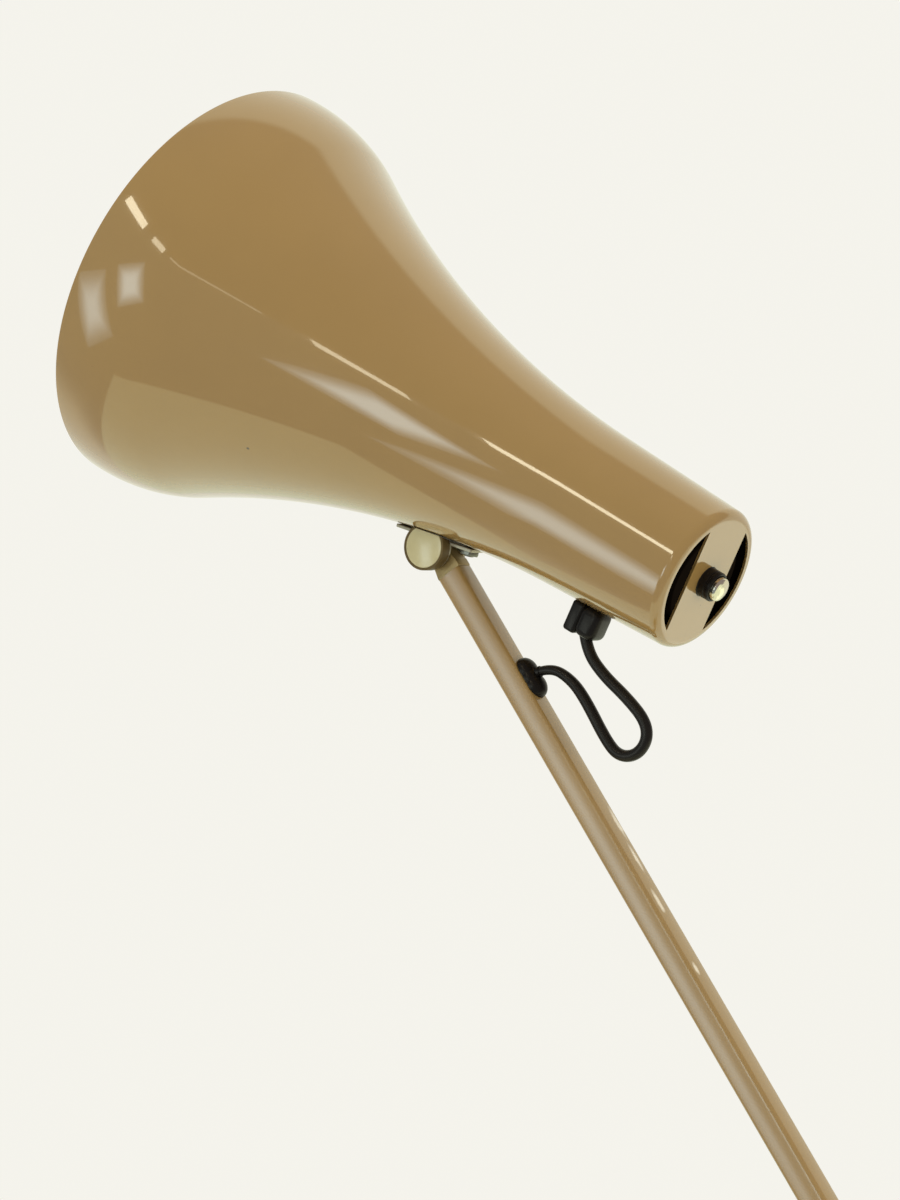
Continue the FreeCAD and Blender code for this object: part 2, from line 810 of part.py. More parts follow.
# Lower arm: tube, foot fitting, elbow plates and spring seats
def build_lower_arm():
    tube_end = size.lower_length - size.lower_end_gap
    plug_low = size.lower_start
    hub = size.elbow_lug_radius
    lip = size.tube_wall

    foot = plate("lower_foot", lower_frame, [
        (0, 0, hub),
        (half_tube - lip, plug_low - lip, lip),
        (-half_tube + lip, plug_low - lip, lip),
    ], -half_tube, size.tube_side, [(0, 0, size.bolt_radius + size.run_gap)])
    add_plug(foot, plug_low, size.plug_length)
    keep(foot)

    tube = square_tube("lower_tube", lower_frame, plug_low, tube_end - plug_low)
    rivet_first = size.lower_length - size.elbow_plate_length + half_tube
    rivets = [rivet_first, tube_end - size.rivet_head * 2]
    rivet_hole = size.rivet_radius + size.fit_gap
    holes = [(0, size.lower_pin_height, size.pin_radius + size.fit_gap)]
    holes += [(0, spot, rivet_hole) for spot in rivets]
    side_holes(tube, -size.tube_side, size.tube_side * 2, holes)
    keep(tube)

    outline = [
        (0, size.lower_length - size.elbow_plate_length + half_tube, half_tube),
        (0, size.lower_length, size.elbow_boss),
    ]
    plate_holes = [(0, size.lower_length, size.bolt_radius + size.fit_gap)]
    plate_holes += [(0, spot, rivet_hole) for spot in rivets]
    outside = half_tube + size.elbow_plate_wall
    keep(plate("elbow_plate_near", lower_frame, outline, -outside, size.elbow_plate_wall, plate_holes))
    keep(plate("elbow_plate_far", lower_frame, outline, half_tube, size.elbow_plate_wall, plate_holes))
    members = [through_rivet(across(lower_frame, 0, spot.value), outside) for spot in rivets]
    group("elbow_rivets", members)

    keep(grooved_pin("arm_spring_pin", across(lower_frame, 0, size.lower_pin_height.value)))

    arm = size.crank_spring_arm
    tip = size.eye_radius - size.link_pin
    seat = size.tube_wall
    height = size.spring_lug_height
    lug = plate("spring_lug", lower_frame, [
        (-arm, height, tip),
        (-half_tube - seat, height - tip + seat, seat),
        (-half_tube - seat, height + size.eye_radius * 4, seat),
    ], -size.spring_lug_half, size.spring_lug_half * 2, [(-arm, height, size.spring_lug_hole)])
    keep(lug)

    bolt_frame = across(lower_frame, 0, size.lower_length.value)
    keep(pivot_bolt("elbow_bolt", bolt_frame, outside))
    keep(hex_nut("elbow_nut", bolt_frame, size.nut_flats, size.bolt_radius, outside, size.nut_height))
    keep_washers("elbow_washers", bolt_frame, [
        (elbow_lug_half + size.slip_gap, half_tube),
    ], size.bolt_radius, size.washer_radius)


def through_rivet(frame, outside):
    head = size.rivet_head
    rise = size.rivet_rise
    cap = head - rise
    return rod("rivet", frame, [
        (0, -outside - rise),
        (cap, -outside - rise),
        (head, -outside),
        (size.rivet_radius, -outside),
        (size.rivet_radius, outside),
        (head, outside),
        (cap, outside + rise),
        (0, outside + rise),
    ])


# Crank and tie rod that keep the upper arm's angle
def build_linkage():
    swing = size.upper_tilt - size.lower_lean
    seat_x = size.crank_spring_arm * sine(swing)
    seat_z = -size.crank_spring_arm * cosine(swing)
    outline = [
        (seat_x, seat_z, size.eye_radius - 1),
        (0, size.tail_length, size.eye_radius),
        (0, 0, size.crank_hub),
    ]
    holes = [
        (0, 0, size.bolt_radius + size.run_gap),
        (0, size.tail_length, size.link_pin + size.fit_gap),
        (seat_x, seat_z, size.link_pin + size.fit_gap),
    ]
    face = crank_face
    outside = face + size.crank_wall
    keep(plate("crank_near", crank_frame, outline, -outside, size.crank_wall, holes))
    keep(plate("crank_far", crank_frame, outline, face, size.crank_wall, holes))
    end_frame = across(crank_frame, 0, size.tail_length.value)
    seat_frame = across(crank_frame, seat_x.value, seat_z.value)
    group("crank_pins", [headed_pin("crank_pin", frame, outside) for frame in (end_frame, seat_frame)])
    spacer_radius = size.link_pin * 2
    keep_washers("crank_spacers", end_frame, [(size.eye_half + size.slip_gap, face)], size.link_pin, spacer_radius)

    length = size.lower_length
    tie_rod = new_body("tie_rod", rod_frame)
    bore = size.link_pin + size.run_gap
    for eye, neck in ((as_size(0), size.rod_neck), (length, length - size.rod_neck)):
        sketch = new_sketch(tie_rod, "XZ_Plane", size.eye_half)
        low = (0, eye, size.eye_radius)
        high = (0, neck, size.rod_radius)
        add_belt(sketch, [low, high])
        add_circle(sketch, 0, eye, bore)
        pad(tie_rod, sketch, size.eye_half * 2, reverse=True)
        if eye.value == 0:
            sketch = new_sketch(tie_rod, "XY_Plane", size.rod_neck)
            add_circle(sketch, 0, 0, size.rod_radius)
            pad(tie_rod, sketch, length - size.rod_neck * 2)
    keep(tie_rod)


def headed_pin(label, frame, outside):
    head = size.link_pin * 1.6
    rise = size.link_pin * 0.35
    return rod(label, frame, [
        (0, -outside - rise),
        (head, -outside - rise),
        (head, -outside),
        (size.link_pin, -outside),
        (size.link_pin, outside),
        (head, outside),
        (head, outside + rise),
        (0, outside + rise),
    ])


# Upper arm: tube, elbow fitting with its tail, tongue and cord bush
def build_upper_arm():
    length = size.upper_length
    tube_low = size.upper_start
    tube_high = length - size.upper_end_gap
    lip = size.tube_wall

    tube = square_tube("upper_tube", upper_frame, tube_low, tube_high - tube_low)
    sketch = new_sketch(tube, "YZ_Plane", -half_tube - lip)
    add_circle(sketch, 0, arm_exit_height(), size.bush_hole)
    pocket(tube, sketch, size.tube_wall * 3, reverse=True)
    keep(tube)

    half = elbow_lug_half
    tail_height = length + size.tail_length
    side = half_tube - lip
    fitting = plate("elbow_fitting", upper_frame, [
        (-side, tube_high + lip, lip),
        (side, tube_high + lip, lip),
        (0, length, size.elbow_lug_radius),
        (0, tail_height, size.eye_radius),
        (0, length, size.elbow_lug_radius),
    ], -half, half * 2, [(0, length, size.bolt_radius + size.run_gap), (0, tail_height, size.link_pin + size.fit_gap)])
    add_plug(fitting, tube_high - size.plug_length, size.plug_length)
    slot_half = size.eye_half + size.slot_gap
    slot_low = tail_height - size.tail_slot
    slot_high = tail_height + size.eye_radius * 2
    sketch = new_sketch(fitting, "YZ_Plane", size.tube_side)
    add_loop(sketch, [(-slot_half, slot_low), (slot_half, slot_low), (slot_half, slot_high), (-slot_half, slot_high)])
    pocket(fitting, sketch, size.tube_side * 2)
    keep(fitting)
    keep(headed_pin("tail_pin", across(upper_frame, 0, tail_height.value), half))

    tip = size.tongue_tip
    low = tube_low - lip
    tongue = plate("arm_tongue", upper_frame, [
        (0, 0, tip),
        (side, low, lip),
        (-side, low, lip),
        (-side, low - size.tube_wall * 2, lip),
    ], -size.tongue_half, size.tongue_half * 2, [(0, 0, size.hinge_bolt + size.run_gap)])
    add_plug(tongue, tube_low, size.plug_length)
    keep(tongue)


def arm_exit_height():
    return as_size(63.4)


# Bushes that grip the flex: corners as height above the arm's face or the shade's neck, and place along it
arm_bush_corners = [(1.55, 71.5), (2.4, 68.5), (2.4, 58.5), (1.55, 56.0)]
shade_bush_corners = [(1.6, 44.5), (10.27, 43.0), (10.29, 40.6), (5.84, 35.2), (1.6, 35.6)]
bush_corner = 1.5


def bush_outlines():
    arm = [(-half_tube.value - rise, z) for rise, z in arm_bush_corners]
    shade = [(-neck_radius_at(z).value - rise, z) for rise, z in shade_bush_corners]
    return arm, shade


def bush(label, frame, outline, half):
    # a moulded block whose two side faces have rounded edges
    discs = [(x, z, bush_corner) for x, z in outline]
    body = plate(label, frame, discs, -half, half * 2)
    doc.recompute()
    sides = []
    for index, face in enumerate(body.Shape.Faces, start=1):
        if face.Surface.TypeId == "Part::GeomPlane" and abs(abs(face.CenterOfMass.y) - half.value) < 1e-6:
            sides.append(f"Face{index}")
    block = body.Tip
    rounding = body.newObject("PartDesign::Fillet", "Rounding")
    rounding.Base = (block, sides)
    rounding.setExpression("Radius", size.bush_round.text)
    return body


# Shade, spun in one piece, with two vents in its flat rear end
def build_shade():
    wall = size.shade_wall
    taper = size.neck_taper
    rounding = size.rear_round
    hole = size.neck_radius + size.fit_gap
    outer = shade_profile(as_size(0))
    inner = shade_profile(wall)
    centre_r = size.rear_radius + rounding * sine(taper) / cosine(taper) - rounding / cosine(taper)
    inner_round = rounding - wall
    shade = turned("shade", shade_frame, [
        (hole, 0),
        (centre_r, 0),
        (centre_r + rounding * cosine(taper), rounding - rounding * sine(taper), rounding, -1),
        outer[0],
        (outer[1][0], outer[1][1], size.flare_radius, 1),
        (outer[2][0], outer[2][1], size.shoulder_radius, -1),
        inner[2],
        (inner[1][0], inner[1][1], size.shoulder_radius - wall, 1),
        (inner[0][0], inner[0][1], size.flare_radius + wall, -1),
        (centre_r + inner_round * cosine(taper), rounding - inner_round * sine(taper)),
        (centre_r, wall, inner_round, 1),
        (hole, wall),
    ])
    band = size.vent_band
    reach = root(size.vent_radius * size.vent_radius - band * band)
    sketch = new_sketch(shade, "XY_Plane")
    add_loop(sketch, [(-reach, band), (reach, band, size.vent_radius, 1)])
    add_loop(sketch, [(reach, -band), (-reach, -band, size.vent_radius, 1)])
    pocket(shade, sketch, wall * 2, reverse=True)
    sketch = new_sketch(shade, "YZ_Plane")
    add_circle(sketch, 0, shade_exit_height(), size.bush_hole)
    pocket(shade, sketch, size.rear_radius * 2)
    for spot in (size.front_screw, -size.rear_screw):
        sketch = new_sketch(shade, "YZ_Plane")
        screw_spot = web_point(spot.value)
        add_circle(sketch, 0, screw_spot, size.bracket_screw + size.air_gap)
        pocket(shade, sketch, size.rear_radius * 2)
    keep(shade)


def shade_exit_height():
    return as_size(39.0)


# Bracket under the shade: a straight web that touches the shade at both ends
web_front_z = size.hinge_from_rear.value + size.web_front.value
web_rear_z = size.hinge_from_rear.value - size.web_rear.value
web_slope = math.atan2(
    shade_radius_at(web_front_z) - shade_radius_at(web_rear_z), web_front_z - web_rear_z)
web_lift = hinge_below_axis - shade_radius_at(web_rear_z)
web_lift -= size.web_rear.value * math.tan(web_slope)
web_top = web_lift * math.cos(web_slope) - size.fit_gap.value * 2
bracket_frame = turned_about_y(hinge, nose - 90 - math.degrees(web_slope))


def web_point(spot):
    # where a screw square to the web meets the shade, along the shade's axis
    reach = size.hinge_from_rear.value + spot * math.cos(web_slope) + web_top * math.sin(web_slope)
    return as_size(reach)


def build_bracket():
    top = as_size(web_top)
    low = top - size.web_wall
    ear_face = size.tongue_half + size.hinge_washer + size.slip_gap * 2
    outside = ear_face + size.ear_wall
    corner = size.web_wall
    web_corner = size.tube_wall

    bracket = new_body("shade_bracket", bracket_frame)
    sketch = new_sketch(bracket, "YZ_Plane", low)
    add_belt(sketch, [
        (-outside + web_corner, -size.web_rear + web_corner, web_corner),
        (outside - web_corner, -size.web_rear + web_corner, web_corner),
        (outside - web_corner, size.web_front - web_corner, web_corner),
        (-outside + web_corner, size.web_front - web_corner, web_corner),
    ])
    for spot in (size.front_screw, -size.rear_screw):
        add_circle(sketch, 0, spot, size.bracket_screw + size.fit_gap)
    pad(bracket, sketch, size.web_wall)
    for face in (-outside, ear_face):
        sketch = new_sketch(bracket, "XZ_Plane", -face)
        add_belt(sketch, [
            (size.cup_rise, size.cup_forward, size.ear_radius),
            (top - corner / 2, size.cup_forward - size.ear_radius + corner, corner / 2),
            (top - corner / 2, size.cup_forward + size.ear_radius - corner, corner / 2),
        ])
        add_circle(sketch, 0, 0, size.hinge_bolt + size.fit_gap)
        pad(bracket, sketch, size.ear_wall, reverse=True)
    keep(bracket)

    screws = []
    nuts = []
    head_seat = top + size.shade_wall * 2
    for spot in (size.front_screw, -size.rear_screw):
        turn = Rotation(Vector(0, 1, 0), 90)
        frame = bracket_frame.multiply(Placement(Vector(0, 0, spot.value), turn))
        tip = low - size.bracket_nut_height - size.web_wall / 2
        screws.append(turned("bracket_screw", frame, [
            (0, tip),
            (size.bracket_screw, tip),
            (size.bracket_screw, head_seat),
            (size.bracket_head, head_seat),
            (size.bracket_head, head_seat + size.bracket_head_height / 2),
            (size.bracket_head / 2, head_seat + size.bracket_head_height),
            (0, head_seat + size.bracket_head_height),
        ]))
        nut_low = low - size.bracket_nut_height
        nuts.append(hex_nut("bracket_nut", frame, size.hinge_nut_flats, size.bracket_screw, nut_low,
                            size.bracket_nut_height))
    group("bracket_screws", screws)
    group("bracket_nuts", nuts)

    hinge_frame = across(bracket_frame, 0, 0)
    tip = outside + size.hinge_nut_height + size.hinge_tail
    head = -outside - size.hinge_head_height
    keep(rod("hinge_bolt", hinge_frame, [
        (0, head),
        (size.hinge_head, head),
        (size.hinge_head, -outside),
        (size.hinge_bolt, -outside),
        (size.hinge_bolt, tip),
        (0, tip),
    ]))
    keep(hex_nut("hinge_nut", hinge_frame, size.hinge_nut_flats, size.hinge_bolt, outside, size.hinge_nut_height))
    keep_washers("hinge_washers", hinge_frame, [
        (size.tongue_half + size.slip_gap, ear_face),
    ], size.hinge_bolt, size.tongue_tip)

    build_hinge_cup(outside)


def build_hinge_cup(outside):
    # a shallow cup over the near ear, closed by a pale disc; both follow the shade's curve on top
    cup_end = outside + size.cup_height
    floor = size.cup_height - size.cup_wall - size.disc_height
    roof = shade_radius_at(size.hinge_from_rear.value)
    clear = hinge_below_axis - roof
    drum = as_size(roof) + size.air_gap
    drum_x = as_size(roof + clear * math.cos(web_slope))

    cup = new_body("hinge_cup", bracket_frame)
    sketch = new_sketch(cup, "XZ_Plane", cup_end)
    add_circle(sketch, size.cup_rise, size.cup_forward, size.cup_radius)
    pad(cup, sketch, size.cup_height, reverse=True)
    sketch = new_sketch(cup, "XZ_Plane", outside)
    add_circle(sketch, 0, 0, size.hinge_head + size.air_gap)
    pocket(cup, sketch, floor, reverse=True)
    sketch = new_sketch(cup, "XZ_Plane", cup_end)
    add_circle(sketch, size.cup_rise, size.cup_forward, size.cup_radius - size.cup_wall)
    pocket(cup, sketch, size.disc_height)
    disc = new_body("hinge_disc", bracket_frame)
    sketch = new_sketch(disc, "XZ_Plane", cup_end)
    add_circle(sketch, size.cup_rise, size.cup_forward, size.cup_radius - size.cup_wall - size.fit_gap)
    pad(disc, sketch, size.disc_height, reverse=True)
    for body in (cup, disc):
        sketch = new_sketch(body, "XY_Plane", size.cup_radius * 2)
        add_circle(sketch, drum_x, 0, drum)
        pocket(body, sketch, size.cup_radius * 4)
        keep(body)


# Lampholder, baffle, bulb and the push switch that clamps them to the shade
def build_light():
    wall = size.shade_wall
    bore = size.neck_radius
    keep(turned("lampholder", shade_frame, [
        (bore + size.fit_gap, wall),
        (size.holder_radius, wall),
        (size.holder_radius, size.holder_length),
        (size.socket_radius, size.holder_length),
        (size.socket_radius, size.socket_length),
        (size.socket_bore, size.socket_length),
        (size.socket_bore, size.socket_floor),
        (0, size.socket_floor),
        (0, size.neck_depth + wall * 2),
        (bore + size.fit_gap, size.neck_depth + wall * 2),
    ]))
    keep(ring("holder_ring", shade_frame, size.socket_radius + size.fit_gap, size.ring_radius,
              size.holder_length, size.holder_length + size.ring_length))
    baffle_radius = neck_radius_at(size.baffle_height) - wall - size.baffle_gap
    keep(ring("light_baffle", shade_frame, size.holder_radius + size.fit_gap, baffle_radius,
              size.baffle_height, size.baffle_height + size.baffle_wall))

    keep(turned("bulb_cap", shade_frame, [
        (0, size.socket_floor),
        (size.cap_radius, size.socket_floor),
        (size.cap_radius, size.cap_end),
        (0, size.cap_end),
    ]))
    globe = size.bulb_radius
    glass = size.glass_wall
    centre = size.bulb_centre
    join = size.cap_radius
    lean_back = as_size(38.0)
    keep(turned("bulb_glass", shade_frame, [
        (join, size.cap_end),
        (size.bulb_neck, size.bulb_neck_end),
        (globe * cosine(lean_back), centre - globe * sine(lean_back)),
        (globe, centre, globe, -1),
        (0, centre + globe, globe, -1),
        (0, centre + globe - glass),
        (globe - glass, centre, globe - glass, 1),
        ((globe - glass) * cosine(lean_back), centre - (globe - glass) * sine(lean_back), globe - glass, 1),
        (size.bulb_neck - glass, size.bulb_neck_end),
        (join - glass, size.cap_end),
    ]))

    front = -size.switch_length
    step = front + size.button_rise + size.button_travel
    keep(turned("switch_collar", shade_frame, [
        (size.button_radius + size.run_gap, front),
        (size.collar_outer, front),
        (size.collar_outer, 0),
        (bore, 0),
        (bore, size.neck_depth),
        (size.button_stem + size.run_gap, size.neck_depth),
        (size.button_stem + size.run_gap, step + size.slip_gap),
        (size.button_radius + size.run_gap, step + size.slip_gap),
    ]))
    tip = front - size.button_rise
    soft = size.button_rise / 2
    shank = front + size.button_rise
    keep(turned("switch_button", shade_frame, [
        (0, tip),
        (size.button_radius - soft, tip),
        (size.button_radius, tip + soft, soft, -1),
        (size.button_radius, shank),
        (size.button_stem, shank),
        (size.button_stem, size.neck_depth - size.button_travel * 2),
        (0, size.neck_depth - size.button_travel * 2),
    ]))


# Wire and cord paths: straight runs and tangent arcs
def arc_edge(start, tangent, finish):
    chord = finish - start
    reach = chord.Length
    chord_way = chord * (1 / reach)
    way = tangent * (1 / tangent.Length)
    lift = way - chord_way * way.dot(chord_way)
    if lift.Length < 1e-7:
        return Part.LineSegment(start, finish).toShape()
    angle = math.acos(max(-1.0, min(1.0, way.dot(chord_way))))
    lift.normalize()
    middle = start + chord * 0.5 + lift * (reach / 2 * math.tan(angle / 2))
    return Part.Arc(start, middle, finish).toShape()


def biarc(start, start_way, finish, finish_way):
    gap = finish - start
    ways = start_way + finish_way
    spread = 2 * (1 - start_way.dot(finish_way))
    dot = gap.dot(ways)
    if abs(spread) < 1e-9:
        reach = gap.dot(gap) / (4 * gap.dot(finish_way))
    else:
        reach = (math.sqrt(dot * dot + spread * gap.dot(gap)) - dot) / spread
    joint = (start + start_way * reach + finish - finish_way * reach) * 0.5
    joint_way = finish - finish_way * reach - start - start_way * reach
    return [arc_edge(start, start_way, joint), arc_edge(joint, joint_way, finish)]


def tube_along(edges, radius, start, way):
    wire = Part.Wire(edges)
    section = Part.Wire([Part.Circle(start, way, radius).toShape()])
    tube = wire.makePipeShell([section], True, False)
    if tube.Volume < 0:
        tube.reverse()
    return tube, wire.Length


def spring_shape(length, turns, trim):
    # a coil about Z from 0 to length: straight ends on the axis, then half turns as biarcs
    coil = size.coil_radius.value
    wire = size.wire_radius.value
    end = size.spring_end.value
    straight = wire * 2
    low = trim + straight + end
    high = length - low
    halves = int(turns) * 2
    pitch = (high - low) / halves * 2

    def spot(step):
        turn = math.pi * step
        return Vector(coil * math.cos(turn), coil * math.sin(turn), low + pitch / 2 * step)

    def heading(step):
        turn = math.pi * step
        way = Vector(-coil * math.sin(turn), coil * math.cos(turn), pitch / (2 * math.pi))
        return way.normalize()

    up = Vector(0, 0, 1)
    first = Vector(0, 0, trim)
    bend = Vector(0, 0, trim + straight)
    last_bend = Vector(0, 0, length - trim - straight)
    last = Vector(0, 0, length - trim)
    edges = [Part.LineSegment(first, bend).toShape()]
    edges += biarc(bend, up, spot(0), heading(0))
    for step in range(halves):
        edges += biarc(spot(step), heading(step), spot(step + 1), heading(step + 1))
    edges += biarc(spot(halves), heading(halves), last_bend, up)
    edges.append(Part.LineSegment(last_bend, last).toShape())
    shape, path_length = tube_along(edges, wire, first, up)
    points = [point for edge in edges for point in edge.discretize(9)[:-1]]
    return shape, path_length, self_gap(points, coil * 2) - wire * 2


def self_gap(points, skip):
    # least distance between points of a path that lie further apart along it than skip
    travel = [0.0]
    for before, after in zip(points, points[1:]):
        travel.append(travel[-1] + (after - before).Length)
    best = 1e9
    for index, point in enumerate(points):
        for other in range(index + 1, min(len(points), index + 90)):
            if travel[other] - travel[index] > skip:
                best = min(best, (points[other] - point).Length)
    return best


def place_spring(label, start, finish, turns, trim):
    reach = finish - start
    shape, path_length, gap = spring_shape(reach.Length, turns, trim)
    expected = math.pi * size.wire_radius.value ** 2 * path_length
    print(f"{label}: length {reach.Length:.1f}, least gap to itself {gap:.2f},",
          f"volume {shape.Volume:.0f} of {expected:.0f}")
    node = solid_node(label, shape)
    node.Placement = Placement(start, Rotation(Vector(0, 0, 1), reach))


def build_springs():
    anchor = main_pivot + Vector(-size.anchor_back.value, 0, -size.anchor_drop.value)
    seat = lower_frame.multVec(Vector(0, 0, size.lower_pin_height.value))
    trim = size.pin_groove.value + size.wire_gap.value
    for label, side in (("lower_spring_near", -1), ("lower_spring_far", 1)):
        shift = Vector(0, side * spring_side.value, 0)
        place_spring(label, anchor + shift, seat + shift, size.lower_turns.value, trim)
    arm = size.crank_spring_arm.value
    low = lower_frame.multVec(Vector(-arm, 0, 0))
    lug_tip = size.eye_radius.value - size.link_pin.value
    high = lower_frame.multVec(Vector(-arm, 0, size.spring_lug_height.value - lug_tip + trim - size.fit_gap.value))
    place_spring("upper_spring", low, high, size.upper_turns.value, trim)


# Route of the flex in the lamp's plane, from the shade's bush to the arm's, measured from the hinge
flex_route = [
    (65.15, -31.15),
    (66.2, -38.4),
    (73.4, -47.3),
    (83.7, -55.7),
    (90.6, -64.3),
    (92.8, -72.6),
    (88.0, -78.4),
    (80.4, -76.6),
    (72.4, -68.1),
    (64.8, -55.6),
    (58.4, -48.7),
    (50.4, -44.7),
    (44.54, -46.28),
]


def build_flex():
    points = [hinge + Vector(x, 0, z) for x, z in flex_route]
    edges = []
    radii = []
    start = points[0]
    for before, corner, after in zip(points, points[1:], points[2:]):
        way_in = (corner - before).normalize()
        way_out = (after - corner).normalize()
        turn = math.acos(max(-1.0, min(1.0, way_in.dot(way_out))))
        trim = 0.45 * min((corner - before).Length, (after - corner).Length)
        radii.append(trim / math.tan(turn / 2))
        enter = corner - way_in * trim
        leave = corner + way_out * trim
        edges.append(Part.LineSegment(start, enter).toShape())
        edges.append(arc_edge(enter, way_in, leave))
        start = leave
    edges.append(Part.LineSegment(start, points[-1]).toShape())
    shape, length = tube_along(edges, size.flex_radius.value, points[0], points[1] - points[0])
    expected = math.pi * size.flex_radius.value ** 2 * length
    print("flex radii", [round(radius, 1) for radius in radii])
    print(f"flex length {length:.1f}, volume {shape.Volume:.0f} of {expected:.0f}")
    solid_node("flex_loop", shape)


build_base()
build_swivel()
build_stand()
build_lower_arm()
build_linkage()
build_upper_arm()
arm_bush_outline, shade_bush_outline = bush_outlines()
keep(bush("arm_bush", upper_frame, arm_bush_outline, size.arm_bush_half))
build_shade()
keep(bush("shade_bush", shade_frame, shade_bush_outline, size.shade_bush_half))
build_bracket()
build_light()
build_springs()
build_flex()
doc.recompute()

faults = [item.Name for item in doc.Objects if "Invalid" in item.State or "Error" in item.State]
faults += [label for label, item in nodes.items() if item.Shape.isNull() or not item.Shape.isValid()]
if faults:
    raise ValueError(f"failed objects: {faults}")

os.makedirs("parts", exist_ok=True)
for label, item in nodes.items():
    item.Shape.exportStep(f"parts/{label}.step")

for word, point in (("main pivot", main_pivot), ("elbow", elbow), ("hinge", hinge), ("crank end", crank_end),
                    ("tail end", tail_end), ("shade rear", shade_rear)):
    print(word, [round(number, 4) for number in point])
print("nodes", len(nodes))
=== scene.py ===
import json
import math

import bpy
from mathutils import Matrix, Vector
from mathutils.geometry import intersect_point_line


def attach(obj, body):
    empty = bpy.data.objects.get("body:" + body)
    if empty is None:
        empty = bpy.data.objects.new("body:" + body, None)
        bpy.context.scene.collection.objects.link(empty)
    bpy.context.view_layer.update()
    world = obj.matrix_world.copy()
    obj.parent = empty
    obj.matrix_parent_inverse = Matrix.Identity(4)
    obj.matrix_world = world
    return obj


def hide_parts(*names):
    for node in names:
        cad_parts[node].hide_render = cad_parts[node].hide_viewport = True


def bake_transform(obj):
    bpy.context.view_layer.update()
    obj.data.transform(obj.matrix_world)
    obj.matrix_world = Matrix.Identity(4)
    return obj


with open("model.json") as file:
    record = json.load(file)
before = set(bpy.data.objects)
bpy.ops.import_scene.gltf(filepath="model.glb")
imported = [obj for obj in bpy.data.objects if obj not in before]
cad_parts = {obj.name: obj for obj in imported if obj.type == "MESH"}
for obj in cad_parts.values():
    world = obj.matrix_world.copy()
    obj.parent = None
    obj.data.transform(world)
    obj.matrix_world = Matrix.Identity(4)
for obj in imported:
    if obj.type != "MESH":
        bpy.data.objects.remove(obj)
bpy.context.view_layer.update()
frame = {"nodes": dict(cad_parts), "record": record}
nodes = frame["nodes"]
bodyOf = {node: body for body, members in frame["record"]["behaviour"]["bodies"].items() for node in members}
print("frame loaded,", len(nodes), "pieces")


# places of the shade and of the two arms, each with its own Z axis
def place(origin, zAxis, xAxis):
    z, x = Vector(zAxis).normalized(), Vector(xAxis).normalized()
    turned = Matrix((x, z.cross(x), z)).transposed().to_4x4()
    turned.translation = Vector(origin)
    return turned


def slope(degrees):
    return math.cos(math.radians(degrees)), math.sin(math.radians(degrees))


joints = {"main": (0, 0, 0.1), "hinge": (-0.0560094, 0, 0.6955817), "rear": (0.0622236, 0, 0.6834188)}
tilts = {"shade": 27.29, "upper": 55.21, "lower": 65}  # degrees from level
level, rise = slope(tilts["shade"])
shadePlace = place(joints["rear"], (-level, 0, rise), (rise, 0, level))
level, rise = slope(tilts["upper"])
upperPlace = place(joints["hinge"], (level, 0, -rise), (-rise, 0, -level))
level, rise = slope(tilts["lower"])
lowerPlace = place(joints["main"], (level, 0, rise), (rise, 0, -level))
tablePlace = Matrix.Identity(4)


# selecting, turning and finishing
weldGap = 0.000002  # points nearer than this become one
planeGap = 0.00001  # what is nearer than this to a plane lies on it


def pick(*pieces):
    if bpy.context.mode != "OBJECT":
        bpy.ops.object.mode_set(mode="OBJECT")
    bpy.ops.object.select_all(action="DESELECT")
    for piece in pieces:
        piece.select_set(True)
    if pieces:
        bpy.context.view_layer.objects.active = pieces[0]


def named(name):
    piece = bpy.context.object
    piece.name = piece.data.name = name
    return piece


def settle(piece, where):
    # puts a finished shape where it belongs, with its place in its mesh
    pick(piece)
    piece.matrix_world = where @ piece.matrix_world
    bpy.ops.object.transform_apply(location=True, rotation=True, scale=True)
    return piece


def apply(piece, kind, **settings):
    pick(piece)
    modifier = piece.modifiers.new(kind.title(), kind)
    for key, value in settings.items():
        setattr(modifier, key, value)
    bpy.ops.object.modifier_apply(modifier=modifier.name)
    return piece


def cleanUp(piece, normals=True):
    pick(piece)
    bpy.ops.object.mode_set(mode="EDIT")
    bpy.ops.mesh.select_all(action="SELECT")
    bpy.ops.mesh.remove_doubles(threshold=weldGap)
    if normals:
        bpy.ops.mesh.normals_make_consistent(inside=False)
    bpy.ops.object.mode_set(mode="OBJECT")
    return piece


def turnProfile(name, profile, steps, where):
    # one point drawn out along the profile, then turned about Z
    pick()
    bpy.ops.mesh.primitive_plane_add(size=0.002, location=(0, 0, 0))
    piece = named(name)
    bpy.ops.object.mode_set(mode="EDIT")
    bpy.ops.mesh.merge(type="CENTER")
    bpy.ops.mesh.select_all(action="SELECT")
    bpy.ops.transform.translate(value=(profile[0][0], 0, profile[0][1]))
    for before, after in zip(profile, profile[1:]):
        step = (after[0] - before[0], 0, after[1] - before[1])
        bpy.ops.mesh.extrude_region_move(TRANSFORM_OT_translate={"value": step})
    bpy.ops.object.mode_set(mode="OBJECT")
    apply(piece, "SCREW", axis="Z", angle=math.tau, steps=steps, render_steps=steps,
          use_merge_vertices=True, merge_threshold=weldGap)
    cleanUp(piece)
    return settle(piece, where)


def curveThrough(centre, radius, fromAngle, toAngle, count):
    turns = [math.radians(fromAngle + (toAngle - fromAngle) * i / count) for i in range(count + 1)]
    return [(centre[0] + radius * math.cos(a), centre[1] + radius * math.sin(a)) for a in turns]


def combine(piece, operation, others):
    for other in others:
        apply(piece, "BOOLEAN", operation=operation, object=other, solver="EXACT")
        bpy.data.objects.remove(other)
    return piece


def cutAway(piece, *cutters):
    return combine(piece, "DIFFERENCE", cutters)


def joinOn(piece, *others):
    return combine(piece, "UNION", others)


